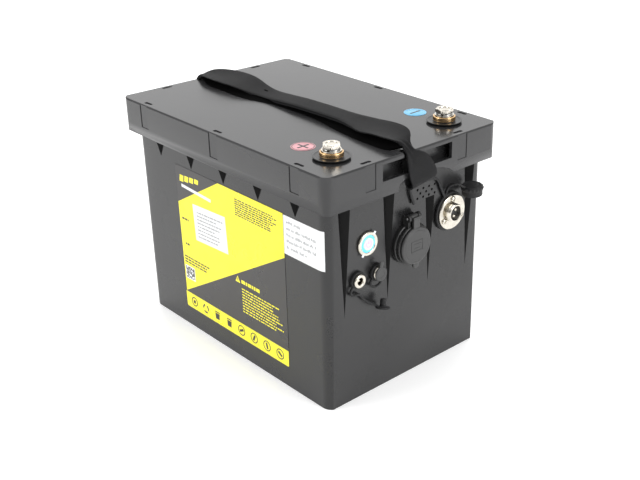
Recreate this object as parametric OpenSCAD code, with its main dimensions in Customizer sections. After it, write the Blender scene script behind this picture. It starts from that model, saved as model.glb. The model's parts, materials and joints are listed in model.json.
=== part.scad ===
// Deep cycle battery in a plastic box with a webbing handle, two stud terminals,
// a lit push switch, an accessory socket, two charging jacks and a round connector.
// Origin: middle of the underside. +X: end wall with the fittings. -Y: label side.

/* [Box and lid] */
// Length of the lid over its skirt
lid_l = 273; // [271:1:277]
// Width of the lid over its skirt
lid_w = 186; // [184:1:190]
// Height of the lid's top face
top_z = 203; // [202:0.5:206]
// Depth of the lid's skirt
skirt_h = 30; // [29:0.5:31]
// Corner radius of the lid
lid_r = 10; // [8:0.5:11]
// Overhang of the skirt past each end wall of the container
over_x = 8.5; // [8:0.5:9]
// Overhang of the skirt past each long wall of the container
over_y = 7.5; // [7:0.5:8]
// Wall thickness of the mouldings
wall = 3; // [2.8:0.1:3.2]
// How much each end wall leans in towards the base
end_draft = 1.9; // [1:0.1:2.5]

/* [Flutes] */
// Spacing of the V flutes along each wall
flute_pitch = 45.8; // [44:0.2:47]
// Height at which the flutes on the end walls run out
flute_tip_z = 78.5; // [70:1:90]
// Height at which the flutes on the long walls run out
side_flute_tip_z = 157.5; // [156:0.5:160]
// Depth of a flute under the skirt
flute_d = 4; // [3.5:0.1:4.2]

/* [Terminals] */
// Distance of the terminals from the middle, lengthwise
term_x = 106; // [104:1:108]
// Distance of the terminals from the middle, across
term_y = 60.5; // [58:0.5:62]
// Thread size of the terminal bolts
bolt_d = 8; // [8]
// Width across flats of the bolt heads
bolt_af = 13; // [12:0.5:14]

/* [End wall fittings] */
// Switch centre, across and up
switch_at = [-45.8, 135.8]; // [-50:0.1:140]
// Accessory socket centre, across and up
socket_at = [-1.6, 122.8]; // [-5:0.1:126]
// Output connector centre, across and up
output_at = [45, 136]; // [40:0.1:140]
// Left charging jack centre, across and up
jack_l_at = [-56.4, 108.3]; // [-60:0.1:112]
// Right charging jack centre, across and up
jack_r_at = [-36.1, 108.3]; // [-40:0.1:112]
// Inner diameter of the accessory socket
socket_bore = 21; // [20.8:0.05:21.2]

/* [Handle] */
// Width of the webbing
strap_w = 27; // [25:0.5:29]
// Thickness of the webbing
strap_t = 1.8; // [1.6:0.1:2]
// Width of the folded grip
grip_w = 16; // [14:0.5:17]

/* [Cells] */
// Thickness of one cell
cell_t = 46; // [44:0.5:46]
// Width of one cell
cell_w = 148; // [140:1:150]
// Height of one cell
cell_h = 130; // [120:1:132]

/* [Hidden] */
$fn = 64;
eps = 0.01;

// Box
cont_l = lid_l - 2 * over_x;
cont_w = lid_w - 2 * over_y;
cont_r = lid_r;
skirt_z = top_z - skirt_h;
bend_z = skirt_z + 9;
skirt_taper = 1.2;
lid_t = wall;
rim_z = top_z - lid_t - 2;
floor_t = 3.5;
base_half_l = cont_l / 2 - end_draft;

// Strap windows and notches in the lid
win_half = 37.4;
win_z0 = bend_z + 4;
win_z1 = top_z - 3.6;
notch_y = -9;
arch_y0 = -20.5;
arch_y1 = 42;

// Latch positions: the same on both long sides, and on both ends
latch_x = [-101, 0, 101];
latch_y = [-49.5, 49.5];
latch_w = 10;
pocket_d = 0.8;

// Flutes
end_flutes = [-1.5, -0.5, 0.5, 1.5] * flute_pitch;
side_flutes = [-2, -1, 0, 1, 2] * flute_pitch;
end_slope = 1.27;
side_slope = 1.75;
vent_flute = end_flutes[2];
vent_pitch = 6.5;
vent_d = 2.1;
vent_at = [18.2, 160.4];
vent_drop = 3.7;

// Plane on which the end wall fittings sit, and the inner face behind it
face_x = cont_l / 2;
back_x = base_half_l - wall;
pad_h = face_x - back_x;

// Terminal stack, from the lid upward
disc_t = 2;
post_t = 3.6;
flat_t = 1.2;
spring_t = 1.4;
head_h = 3.4;
post_z = top_z + disc_t;
flat_z = post_z + post_t;
spring_z = flat_z + flat_t;
head_z = spring_z + spring_t;

// Cell pack
pack_x0 = -112;
sheet_t = 1.5;
pad_t = 2.5;
cell_z0 = floor_t + pad_t;
cell_top = cell_z0 + cell_h;
cell_pitch = cell_t + sheet_t;
pack_x1 = pack_x0 + 4 * cell_pitch - sheet_t;
plate_t = 3;
post_h = 3;
bus_t = 2.5;
cell_post_y = 45;
retainer_z = cell_top + 9;
board_z = retainer_z + 10;

// ---------------------------------------------------------------- helpers

module rounded_slab(l, w, h, r) {
    linear_extrude(h) rounded_outline(l, w, r);
}

module rounded_outline(l, w, r) {
    square([l - 2 * r, w], center = true);
    square([l, w - 2 * r], center = true);
    for (sx = [-1, 1], sy = [-1, 1])
        translate([sx * (l / 2 - r), sy * (w / 2 - r)])
            circle(r);
}

// Children stand on the end wall: their +Z points out along +X
module on_end(at, x = face_x) {
    translate([x, at[0], at[1]])
        rotate([0, 90, 0])
            children();
}

module ring(d_out, d_in, h) {
    difference() {
        cylinder(d = d_out, h = h);
        translate([0, 0, -1])
            cylinder(d = d_in, h = h + 2);
    }
}

module hex_prism(af, h) {
    cylinder(d = af / cos(30), h = h, $fn = 6);
}

module at_both_terminals() {
    for (sy = [-1, 1])
        translate([term_x, sy * term_y, 0])
            children();
}

// V groove whose apex line leaves the wall plane at the tip and sinks in as it rises.
// Its mouth faces +X; the wall plane is x = 0.
module v_groove(tip_z, end_z, depth, slope, slack = 0) {
    rise = end_z - tip_z;
    lean = atan(depth / rise);
    mouth = depth + 2;
    translate([-slack, 0, tip_z])
        rotate([0, -lean, 0])
            translate([0, 0, -slack * rise / depth])
                linear_extrude(rise / cos(lean) + slack * rise / depth)
                    polygon([[0, 0], [mouth + slack, slope * (mouth + slack)],
                             [mouth + slack, -slope * (mouth + slack)]]);
}

// Flat band through stations [x, y, z, half width, half thickness]; its width lies across the path
function unit(v) = v / norm(v);
function heading(s, i) =
    let (a = s[max(i - 1, 0)], b = s[min(i + 1, len(s) - 1)])
    unit([b[0] - a[0], b[1] - a[1], b[2] - a[2]]);
function across(s, i, side) = unit(side - (side * heading(s, i)) * heading(s, i));
function band_points(s, side) = [
    for (i = [0:len(s) - 1])
        let (c = [s[i][0], s[i][1], s[i][2]], w = across(s, i, side), n = cross(heading(s, i), w))
        for (k = [[-1, -1], [1, -1], [1, 1], [-1, 1]])
            c + w * k[0] * s[i][3] + n * k[1] * s[i][4]
];
function band_faces(count) = concat(
    [[0, 1, 2], [0, 2, 3]],
    [for (i = [0:count - 2], k = [0:3], half = [0, 1])
        half == 0 ? [4 * i + k, 4 * i + 4 + k, 4 * i + 4 + (k + 1) % 4]
                  : [4 * i + k, 4 * i + 4 + (k + 1) % 4, 4 * i + (k + 1) % 4]],
    [[for (k = [2, 1, 0]) 4 * (count - 1) + k], [for (k = [3, 2, 0]) 4 * (count - 1) + k]]
);
module band(s, side = [0, 1, 0]) {
    polyhedron(band_points(s, side), band_faces(len(s)), convexity = 6);
}

// Round rod along X or Z with one quarter bend between: up, then over
module bent_rod(from, up_to, reach, d, bend) {
    translate(from)
        cylinder(d = d, h = up_to - from[2] - bend);
    translate([from[0] + bend, from[1], up_to - bend])
        rotate([90, 0, 0])
            rotate([0, 0, 90])
                rotate_extrude(angle = 90)
                    translate([bend, 0])
                        circle(d = d);
    translate([from[0] + bend, from[1], up_to])
        rotate([0, 90, 0])
            cylinder(d = d, h = reach - bend);
}

// ---------------------------------------------------------------- box and lid

module container_outside() {
    intersection() {
        rounded_slab(cont_l, cont_w, rim_z, cont_r);
        rotate([90, 0, 0])
            linear_extrude(cont_w + 2, center = true)
                polygon([[-base_half_l, 0], [base_half_l, 0], [cont_l / 2, skirt_z],
                         [cont_l / 2, rim_z], [-cont_l / 2, rim_z], [-cont_l / 2, skirt_z]]);
    }
}

module container_cavity() {
    translate([0, 0, floor_t])
        rounded_slab(2 * (base_half_l - wall), cont_w - 2 * wall, rim_z, cont_r - wall);
}

// All flutes as cutters, or fattened by slack as the ribs behind them
module flutes(slack = 0) {
    for (sx = [0, 180], y = end_flutes)
        rotate([0, 0, sx])
            translate([cont_l / 2, 0, 0])
                intersection() {
                    translate([-end_draft * (skirt_z - flute_tip_z) / skirt_z, y, 0])
                        v_groove(flute_tip_z, skirt_z + 3, flute_d, end_slope, slack);
                    translate([-20, y - 15, 0])
                        cube([30, 30, y == vent_flute && sx == 0 ? vent_at[1] - vent_drop - 2 : skirt_z + 3]);
                }
    for (side = [-1, 1], x = side_flutes)
        translate([x, side * cont_w / 2, 0])
            rotate([0, 0, side * 90])
                v_groove(side_flute_tip_z, skirt_z + 3, flute_d * 1.4, side_slope, slack);
}

module fitting_holes() {
    on_end(switch_at, back_x - 2) cylinder(d = 16.2, h = 20);
    on_end(socket_at, back_x - 2) cylinder(d = 28.8, h = 20);
    on_end(output_at, back_x - 2) cylinder(d = 16.2, h = 20);
    on_end(jack_l_at, back_x - 2) cylinder(d = 8.2, h = 20);
    on_end(jack_r_at, back_x - 2) cylinder(d = 8.2, h = 20);
}

module vent_holes() {
    for (row = [-1, 0, 1], k = [0:(row == 0 ? 2 : 3)])
        on_end([vent_at[0] + (k - (row == 0 ? 1 : 1.5)) * vent_pitch,
                vent_at[1] + row * vent_drop], back_x - 6)
            cylinder(d = vent_d, h = 20);
}

module container() {
    color([0.1, 0.1, 0.105])
        difference() {
            union() {
                difference() {
                    container_outside();
                    difference() {
                        container_cavity();
                        intersection() {
                            container_outside();
                            flutes(wall);
                        }
                    }
                    flutes();
                }
                fitting_pads();
                latch_ledge();
            }
            fitting_holes();
            vent_holes();
        }
}

// Upright flat pads, so that the fittings sit square on the leaning wall
module fitting_pads() {
    on_end(switch_at, back_x) cylinder(d = 19, h = pad_h);
    on_end(socket_at, back_x) cylinder(d = 35, h = pad_h);
    on_end(output_at, back_x) cylinder(d = 29, h = pad_h);
    on_end(jack_l_at, back_x) cylinder(d = 13, h = pad_h);
    on_end(jack_r_at, back_x) cylinder(d = 13, h = pad_h);
}

// Ledge that the lid's hooks grip, cut away behind the strap windows
module latch_ledge() {
    ledge_z = bend_z + 2;
    difference() {
        translate([0, 0, ledge_z])
            rounded_slab(lid_l - 2 * wall - 1, lid_w - 2 * wall - 1, 3, lid_r - wall);
        translate([0, 0, ledge_z - 1])
            rounded_slab(cont_l - 1, cont_w - 1, 5, cont_r - 0.5);
        for (sx = [-1, 1])
            translate([sx * lid_l / 2, 5, ledge_z])
                cube([24, 86, 10], center = true);
    }
}

module skirt_profile(half, width) {
    chamfer = 1.2;
    rotate([90, 0, 0])
        linear_extrude(width, center = true)
            polygon([[-half + chamfer, top_z], [-half, top_z - chamfer], [-half, bend_z],
                     [-half + skirt_taper, skirt_z], [half - skirt_taper, skirt_z],
                     [half, bend_z], [half, top_z - chamfer], [half - chamfer, top_z]]);
}

// Opening under the strap bar: steep at one side, running out flat at the other
module arch_outline() {
    polygon([[arch_y0, skirt_z - 1], [arch_y0 + 1, skirt_z + 5.6], [arch_y0 + 7, bend_z],
             [arch_y1 - 20, bend_z], [arch_y1 - 13, bend_z - 1.8], [arch_y1 - 7, skirt_z + 4.6],
             [arch_y1, skirt_z], [arch_y1, skirt_z - 1]]);
}

module lid() {
    color([0.11, 0.11, 0.115])
        difference() {
            union() {
                difference() {
                    intersection() {
                        translate([0, 0, skirt_z])
                            rounded_slab(lid_l, lid_w, skirt_h, lid_r);
                        skirt_profile(lid_l / 2, lid_w + 2);
                        rotate([0, 0, 90])
                            skirt_profile(lid_w / 2, lid_l + 2);
                    }
                    translate([0, 0, skirt_z - 1])
                        rounded_slab(lid_l - 2 * wall, lid_w - 2 * wall, skirt_h + 1 - lid_t, lid_r - wall);
                }
                locating_rib();
                latch_hooks();
            }
            strap_ways();
            latch_pockets();
            at_both_terminals()
                translate([0, 0, top_z - 10])
                    cylinder(d = 10.4, h = 20);
        }
}

module locating_rib() {
    inner_l = 2 * (base_half_l - wall) - 0.8;
    inner_w = cont_w - 2 * wall - 0.8;
    translate([0, 0, rim_z - 6])
        difference() {
            rounded_slab(inner_l, inner_w, top_z - lid_t - rim_z + 6 + eps, cont_r - wall);
            translate([0, 0, -1])
                rounded_slab(inner_l - 4, inner_w - 4, 20, cont_r - wall - 2);
        }
}

module latch_hooks() {
    hook_h = 2.4;
    hook_z = bend_z - 1;
    for (side = [-1, 1], x = latch_x)
        translate([x, side * (lid_w / 2 - wall - 1), hook_z])
            cube([latch_w - 1, 4, hook_h], center = true);
    for (side = [-1, 1], y = latch_y)
        translate([side * (lid_l / 2 - wall - 1), y, hook_z])
            cube([4, latch_w - 1, hook_h], center = true);
}

// Window, rim notch and arch at each end, for the webbing
module strap_ways() {
    for (far = [0, 1])
        mirror([far, 0, 0]) {
            translate([lid_l / 2 - wall - 1, -win_half, win_z0])
                cube([10, 2 * win_half, win_z1 - win_z0]);
            translate([lid_l / 2 - 7, notch_y, 0])
                rotate([90, 0, 90])
                    linear_extrude(12)
                        polygon([[-5.5, win_z1 - 1], [-6.8, top_z + 1], [6.8, top_z + 1],
                                 [5.5, win_z1 - 1]]);
            translate([lid_l / 2 - wall - 2, 0, 0])
                rotate([90, 0, 90])
                    linear_extrude(12)
                        arch_outline();
        }
}

module latch_pockets() {
    pocket_in = 5.5;
    groove_w = latch_w + 0.5;
    groove_d = 0.5;
    for (side = [-1, 1], x = latch_x)
        translate([x, side * lid_w / 2, (bend_z + top_z) / 2])
            cube([groove_w, 2 * groove_d, top_z - bend_z], center = true);
    for (side = [-1, 1], y = latch_y)
        translate([side * lid_l / 2, y, (bend_z + top_z) / 2])
            cube([2 * groove_d, groove_w, top_z - bend_z], center = true);
    for (side = [-1, 1], x = latch_x)
        translate([x, side * (lid_w / 2 - pocket_in), top_z - pocket_d])
            pocket(0);
    for (side = [-1, 1], y = latch_y)
        translate([side * (lid_l / 2 - pocket_in), y, top_z - pocket_d])
            pocket(90);
}

module pocket(turn) {
    slot_r = 1.7;
    rotate([0, 0, turn])
        linear_extrude(2) {
            square([latch_w - 2 * slot_r, 2 * slot_r], center = true);
            for (s = [-1, 1])
                translate([s * (latch_w / 2 - slot_r), 0])
                    circle(slot_r);
        }
}

module lid_gasket() {
    color([0.05, 0.05, 0.05])
        translate([0, 0, rim_z])
            difference() {
                rounded_slab(cont_l - 0.6, cont_w - 0.6, top_z - lid_t - rim_z, cont_r);
                translate([0, 0, -1])
                    rounded_slab(2 * (base_half_l - wall) + 0.6, cont_w - 2 * wall + 0.6, 10, cont_r - wall);
            }
}

// ---------------------------------------------------------------- handle

loop_t = strap_t / 2;
fold_t = strap_t + 0.1;
strap_half = strap_w / 2;
grip_half = grip_w / 2;
// From the tail behind the window, round under the bar, up the front and over the rim
loop_route = [
    [131.3, -1, 196, strap_half - 2, loop_t], [131.2, 1, 188, strap_half - 1, loop_t],
    [131.2, 4, 180, strap_half, loop_t], [131.8, 4.7, 176.4, strap_half, loop_t],
    [133.6, 4.8, 174.4, strap_half, loop_t], [136.4, 4.8, 174.2, strap_half, loop_t],
    [138.6, 4.7, 175.8, strap_half, loop_t], [139.4, 3.6, 179, strap_half, loop_t],
    [139.4, -0.6, 187, strap_half - 0.5, loop_t], [138.9, -4.8, 194, strap_half - 3.5, loop_t],
    [138, -7.6, 199, 6.2, loop_t + 0.4], [136, -8.8, 202.8, 4.6, loop_t + 0.6],
    [132.6, -9, 206, 4.9, loop_t + 0.6]
];
front_leg_route = [
    [132, -9, 206.6, 4.9, loop_t + 0.6], [129.5, -8.7, 208.8, 6.6, loop_t + 0.4],
    [124.5, -8, 211, 9.4, loop_t], [117, -7, 211.9, 12.2, loop_t],
    [107, -6, 211.6, 13.4, loop_t], [95, -5, 210.6, 13.2, loop_t],
    [82, -4.2, 210, 11.6, loop_t + 0.4], [68, -3.4, 209.6, 9.6, fold_t - 0.4],
    [52, -2.7, 209.2, grip_half, fold_t]
];
grip_route = [
    [51.4, -2.7, 209.2, grip_half, fold_t], [28, -2.2, 208.8, grip_half, fold_t],
    [0, -2, 208, grip_half, fold_t], [-20, -2, 206.8, grip_half, fold_t],
    [-37.4, -2.2, 205.8, grip_half, fold_t]
];
rear_leg_route = [
    [-38, -2.2, 205.8, grip_half, fold_t], [-50, -2.5, 206, grip_half + 0.6, fold_t - 0.2],
    [-60, -3, 207.8, 10.2, fold_t - 0.4], [-72, -3.6, 210.2, 12, loop_t + 0.3],
    [-84, -4.2, 211.2, 13, loop_t], [-97, -5, 211, 13, loop_t],
    [-112, -6.2, 210.4, 11.6, loop_t], [-124, -8, 209.6, 8.6, loop_t + 0.3],
    [-129.5, -8.8, 208.4, 6, loop_t + 0.5], [-132, -9, 206.6, 4.9, loop_t + 0.6]
];
function mirrored(s) = [for (p = s) [-p[0], p[1], p[2], p[3], p[4]]];

module strap_front_loop() {
    color([0.07, 0.07, 0.075]) band(loop_route);
}
module strap_front_leg() {
    color([0.07, 0.07, 0.075]) band(front_leg_route);
}
module strap_grip() {
    color([0.07, 0.07, 0.075]) band(grip_route);
}
module strap_rear_leg() {
    color([0.07, 0.07, 0.075]) band(rear_leg_route);
}
module strap_rear_loop() {
    color([0.07, 0.07, 0.075]) band(mirrored(loop_route));
}

// ---------------------------------------------------------------- terminals

module post(side) {
    color([0.85, 0.6, 0.3])
        translate([term_x, side * term_y, 0])
            difference() {
                union() {
                    translate([0, 0, post_z])
                        cylinder(d = 18.5, h = post_t);
                    translate([0, 0, top_z - 16])
                        cylinder(d = 10, h = 17 + disc_t);
                }
                translate([0, 0, top_z - 17])
                    cylinder(d = bolt_d, h = 40);
            }
}
module positive_post() {
    post(-1);
}
module negative_post() {
    post(1);
}

module terminal_discs() {
    color([0.05, 0.05, 0.05])
        at_both_terminals()
            translate([0, 0, top_z])
                difference() {
                    union() {
                        cylinder(d = 20, h = disc_t);
                        translate([0, 0, 0.6])
                            cylinder(d = 29.3, h = disc_t - 0.6);
                    }
                    translate([0, 0, -1])
                        cylinder(d = 10.4, h = 5);
                }
}

module flat_washers() {
    color([0.75, 0.75, 0.75])
        at_both_terminals()
            translate([0, 0, flat_z])
                ring(16, bolt_d + 0.4, flat_t);
}

module spring_washers() {
    split = 1.2;
    color([0.72, 0.72, 0.72])
        at_both_terminals()
            translate([0, 0, spring_z])
                difference() {
                    ring(13.6, bolt_d + 0.3, spring_t);
                    rotate([0, 0, -60])
                        translate([2, -split / 2, -1])
                            cube([10, split, 10]);
                }
}

module terminal_bolts() {
    color([0.8, 0.8, 0.8])
        at_both_terminals() {
            translate([0, 0, head_z])
                difference() {
                    hex_prism(bolt_af, head_h);
                    translate([0, 0, head_h - 0.8])
                        cylinder(d = 9, h = 2);
                }
            translate([0, 0, head_z - 20])
                cylinder(d = bolt_d - 0.1, h = 20 + eps);
        }
}

module post_nuts() {
    nut_h = 4;
    color([0.7, 0.7, 0.7])
        at_both_terminals()
            translate([0, 0, top_z - lid_t - nut_h])
                difference() {
                    hex_prism(17, nut_h);
                    translate([0, 0, -1])
                        cylinder(d = 10, h = nut_h + 2);
                }
}

sticker_x = 73;
sticker_d = 19;
film_t = 0.25;
module polarity_sticker(side) {
    translate([sticker_x, side * term_y, top_z])
        cylinder(d = sticker_d, h = film_t);
}
module positive_sticker() {
    color([0.95, 0.55, 0.6]) polarity_sticker(-1);
}
module negative_sticker() {
    color([0.4, 0.75, 0.95]) polarity_sticker(1);
}

// ---------------------------------------------------------------- labels

// Films lie on the -Y wall; at = [x, z] of the lower left corner
module film(at, size, out = 0, tilt = 0) {
    translate([at[0], -cont_w / 2 - out, at[1]])
        rotate([0, tilt, 0])
            translate([0, -film_t, 0])
                cube([size[0], film_t, size[1]]);
}
module side_label() {
    color([0.95, 0.9, 0.15]) film([-70, 19], [147, 137.5]);
}
module rating_sticker() {
    color("white") film([-46, 92.5], [47, 33.5], film_t, -3);
}
module notice_sticker() {
    color("white") film([77.4, 123], [40.2, 32.5], 0);
}

// ---------------------------------------------------------------- push switch

module switch_bezel() {
    color([0.8, 0.8, 0.82])
        on_end(switch_at)
            difference() {
                union() {
                    cylinder(d = 20, h = 2);
                    translate([0, 0, -18])
                        cylinder(d = 15.9, h = 18 + eps);
                }
                translate([0, 0, -16])
                    cylinder(d = 13.4, h = 20);
            }
}
module switch_light_ring() {
    color([0.3, 0.8, 1])
        on_end(switch_at, face_x - 6)
            ring(13.4, 10.2, 7.6);
}
module switch_button() {
    color([0.8, 0.85, 0.88])
        on_end(switch_at, face_x - 8)
            cylinder(d = 10, h = 10.2);
}
module switch_nut() {
    color([0.7, 0.7, 0.7])
        on_end(switch_at, back_x - 3)
            difference() {
                hex_prism(20, 3);
                translate([0, 0, -1])
                    cylinder(d = 15.9, h = 6);
            }
}
module switch_base() {
    pin_r = 4;
    color([0.1, 0.1, 0.1])
        on_end(switch_at, face_x - 26) {
            translate([0, 0, 0])
                cylinder(d = 14, h = 8);
            for (a = [45:90:315])
                rotate([0, 0, a])
                    translate([pin_r - 1, -0.4, -5])
                        cube([2, 0.8, 5 + eps]);
        }
}

// ---------------------------------------------------------------- accessory socket

hinge_up = 23.2;
hinge_out = 5.4;
ear_gap = 7.4;
cover_out = 7.8;
module socket_body() {
    color([0.06, 0.06, 0.06]) {
        on_end(socket_at)
            difference() {
                union() {
                    cylinder(d = 36, h = 3.4);
                    cylinder(d = 34, h = cover_out - 0.3);
                    translate([0, 0, -40])
                        cylinder(d = 28.5, h = 41);
                }
                translate([0, 0, -36])
                    cylinder(d = socket_bore + 1, h = 60);
            }
        for (side = [-1, 1])
            difference() {
                translate([face_x, socket_at[0] + side * (ear_gap / 2 + 1.5) - 1.5, socket_at[1] + 15.5])
                    cube([hinge_out + 2, 3, hinge_up - 15.5 + 2.2]);
                hinge_bore(2);
            }
    }
}
module hinge_bore(d) {
    translate([face_x + hinge_out, socket_at[0], socket_at[1] + hinge_up])
        rotate([90, 0, 0])
            cylinder(d = d, h = 40, center = true);
}
module socket_liner() {
    color([0.7, 0.7, 0.68])
        on_end(socket_at, face_x - 36)
            difference() {
                cylinder(d = socket_bore + 1, h = 40);
                translate([0, 0, 1])
                    cylinder(d = socket_bore, h = 60);
            }
}
module socket_contact() {
    color([0.8, 0.65, 0.35])
        on_end(socket_at, face_x - 35) {
            cylinder(d = 9, h = 1.5);
            cylinder(d = 5, h = 4);
        }
}
module socket_nut() {
    color([0.08, 0.08, 0.08])
        on_end(socket_at, back_x - 5)
            ring(36, 28.5, 5);
}
module socket_cover() {
    color([0.08, 0.08, 0.08])
        difference() {
            union() {
                on_end(socket_at, face_x + cover_out) {
                    cylinder(d = 32, h = 2.6);
                    translate([0, 0, -2.2])
                        cylinder(d = 20.4, h = 2.3);
                    translate([16.4, 0, 0])
                        cylinder(d = 7, h = 2);
                }
                translate([face_x + cover_out, socket_at[0] - 3.5, socket_at[1] + 13])
                    cube([2.2, 7, hinge_up - 13]);
                translate([face_x + hinge_out, socket_at[0], socket_at[1] + hinge_up])
                    rotate([90, 0, 0])
                        cylinder(d = 5.6, h = 7, center = true);
                translate([face_x + hinge_out, socket_at[0] - 3.5, socket_at[1] + hinge_up - 1.2])
                    cube([4.4, 7, 2.4]);
            }
            hinge_bore(2.1);
        }
}
module socket_hinge_pin() {
    color([0.6, 0.6, 0.6])
        translate([face_x + hinge_out, socket_at[0], socket_at[1] + hinge_up])
            rotate([90, 0, 0])
                cylinder(d = 2, h = ear_gap + 7, center = true);
}

// ---------------------------------------------------------------- charging jacks

neck_t = 2.2;
jack_face = 4.3;
module jack(at) {
    color([0.82, 0.8, 0.75])
        on_end(at)
            difference() {
                union() {
                    translate([0, 0, neck_t])
                        cylinder(d = 11.4, h = jack_face - neck_t);
                    translate([0, 0, -15])
                        cylinder(d = 8, h = 15 + neck_t + eps);
                }
                translate([0, 0, -6])
                    cylinder(d = 5.6, h = 30);
            }
}
module left_jack() {
    jack(jack_l_at);
}
module right_jack() {
    jack(jack_r_at);
}
module jack_pins() {
    color([0.85, 0.8, 0.6])
        for (at = [jack_l_at, jack_r_at])
            on_end(at, face_x - 6)
                cylinder(d = 2.1, h = 8.5);
}
module jack_nuts() {
    color([0.7, 0.7, 0.7])
        for (at = [jack_l_at, jack_r_at])
            on_end(at, back_x - 2.5)
                difference() {
                    hex_prism(11, 2.5);
                    translate([0, 0, -1])
                        cylinder(d = 8, h = 5);
                }
}

// Rubber ring on the neck behind a jack's flange
module neck_ring(at) {
    on_end(at, face_x + 0.2)
        ring(14.6, 8.16, neck_t - 0.4);
}
tether_half = 1.1;
tether_t = 0.9;
tether_x = face_x + 1.4;
// The left cap's tether: from the ring round below it, and down to the hanging cap
left_tether = [
    [tether_x, -62.4, 104.9, tether_half, tether_t], [tether_x, -64.8, 101.2, tether_half, tether_t],
    [tether_x, -62.8, 97.8, tether_half, tether_t], [tether_x, -59, 96.6, tether_half, tether_t],
    [tether_x, -55.6, 96, tether_half, tether_t], [tether_x, -53.2, 93.4, tether_half, tether_t],
    [tether_x, -50.6, 89.8, tether_half, tether_t], [tether_x + 0.6, -46.6, 86.2, tether_half, tether_t],
    [tether_x + 1.6, -42, 83, tether_half, tether_t], [tether_x + 2.4, -38.4, 80.8, tether_half, tether_t]
];
right_tether = [
    [tether_x, -42, 104.8, tether_half, tether_t], [tether_x, -44, 101.6, tether_half, tether_t],
    [tether_x, -42.6, 98.8, tether_half, tether_t], [tether_x, -39.8, 97.6, tether_half, tether_t],
    [tether_x, -37, 98.4, tether_half, tether_t], [tether_x + 0.8, -35.2, 100, tether_half, tether_t]
];
plug_d = 5.4;
cap_d = 12;
module left_jack_cap() {
    color([0.06, 0.06, 0.06]) {
        neck_ring(jack_l_at);
        band(left_tether, [1, 0, 0]);
        translate([face_x + 7, -35.8, 79])
            rotate([-18, -12, 0]) {
                translate([0, 0, -1])
                    cylinder(d = cap_d, h = 2);
                cylinder(d = plug_d, h = 7.5);
            }
    }
}
module right_jack_ring() {
    color([0.06, 0.06, 0.06]) {
        neck_ring(jack_r_at);
        band(right_tether, [1, 0, 0]);
    }
}
module right_jack_cap() {
    color([0.08, 0.08, 0.08])
        on_end(jack_r_at, face_x + jack_face + 0.1) {
            difference() {
                union() {
                    cylinder(d = cap_d, h = 1.8);
                    translate([-4.5, -1.5, 0])
                        cube([3, 3, 1.8]);
                    translate([-10, -1.6, 0])
                        cube([6, 3.2, 1.4]);
                    translate([0, 0, -6])
                        cylinder(d = plug_d, h = 6 + eps);
                }
                translate([0, 0, -7])
                    cylinder(d = 2.6, h = 6.8);
            }
        }
}

// ---------------------------------------------------------------- output connector

seal_t = 2.6;
flange_t = 2;
barrel_out = 8.6;
screw_r = 11.3;
module output_shell() {
    color([0.85, 0.83, 0.8])
        on_end(output_at)
            difference() {
                union() {
                    translate([0, 0, seal_t])
                        cylinder(d = 30, h = flange_t);
                    translate([0, 0, -14])
                        cylinder(d = 15.8, h = 14 + barrel_out);
                }
                translate([0, 0, -15])
                    cylinder(d = 11.8, h = 40);
            }
}
function pin_at(s) = [output_at[0] + s, output_at[1] + s * 2.6];
module output_insert() {
    color([0.05, 0.05, 0.05])
        difference() {
            on_end(output_at, face_x - 14)
                cylinder(d = 11.8, h = 14 + barrel_out - 3.5);
            for (s = [-1, 1])
                on_end(pin_at(s), face_x - 15)
                    cylinder(d = 2.6, h = 40);
        }
}
module output_pins() {
    color([0.9, 0.88, 0.8])
        for (s = [-1, 1])
            on_end(pin_at(s), face_x - 17)
                cylinder(d = 2.6, h = 17 + barrel_out - 1.2);
}
module output_screws() {
    color([0.8, 0.8, 0.78])
        for (a = [180, 300, 60])
            on_end(output_at, face_x + seal_t + flange_t)
                rotate([0, 0, a])
                    translate([screw_r, 0, 0])
                        difference() {
                            cylinder(d = 5, h = 1.6);
                            translate([0, 0, 1.6])
                                cube([3.4, 0.8, 1.4], center = true);
                            translate([0, 0, 1.6])
                                cube([0.8, 3.4, 1.4], center = true);
                        }
}
module output_seal() {
    color([0.05, 0.05, 0.05]) {
        on_end(output_at)
            ring(33.5, 16, seal_t);
        band(lanyard_route, [1, 0, 0]);
    }
}
module output_nut() {
    color([0.7, 0.7, 0.7])
        on_end(output_at, back_x - 3)
            difference() {
                hex_prism(20, 3);
                translate([0, 0, -1])
                    cylinder(d = 15.8, h = 6);
            }
}
// Flat rubber tail from the seal ring, tucked up under the skirt and down again
lanyard_x = face_x + 1.5;
lanyard_route = [
    [lanyard_x, 39, 149.5, 1.2, 0.7], [lanyard_x, 36.4, 154, 1.2, 0.7], [lanyard_x, 33.2, 160, 1.2, 0.7],
    [lanyard_x, 30.4, 165, 1.2, 0.7], [lanyard_x, 27, 168.6, 1.2, 0.7], [lanyard_x, 20, 170.8, 1.2, 0.7],
    [lanyard_x, 8, 171.2, 1.2, 0.7], [lanyard_x, 0.6, 170.4, 1.2, 0.7], [lanyard_x, -1.4, 167.6, 1.2, 0.7],
    [lanyard_x, 0.4, 161, 1.2, 0.7], [lanyard_x, 2.9, 154.6, 1.2, 0.7]
];
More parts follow.
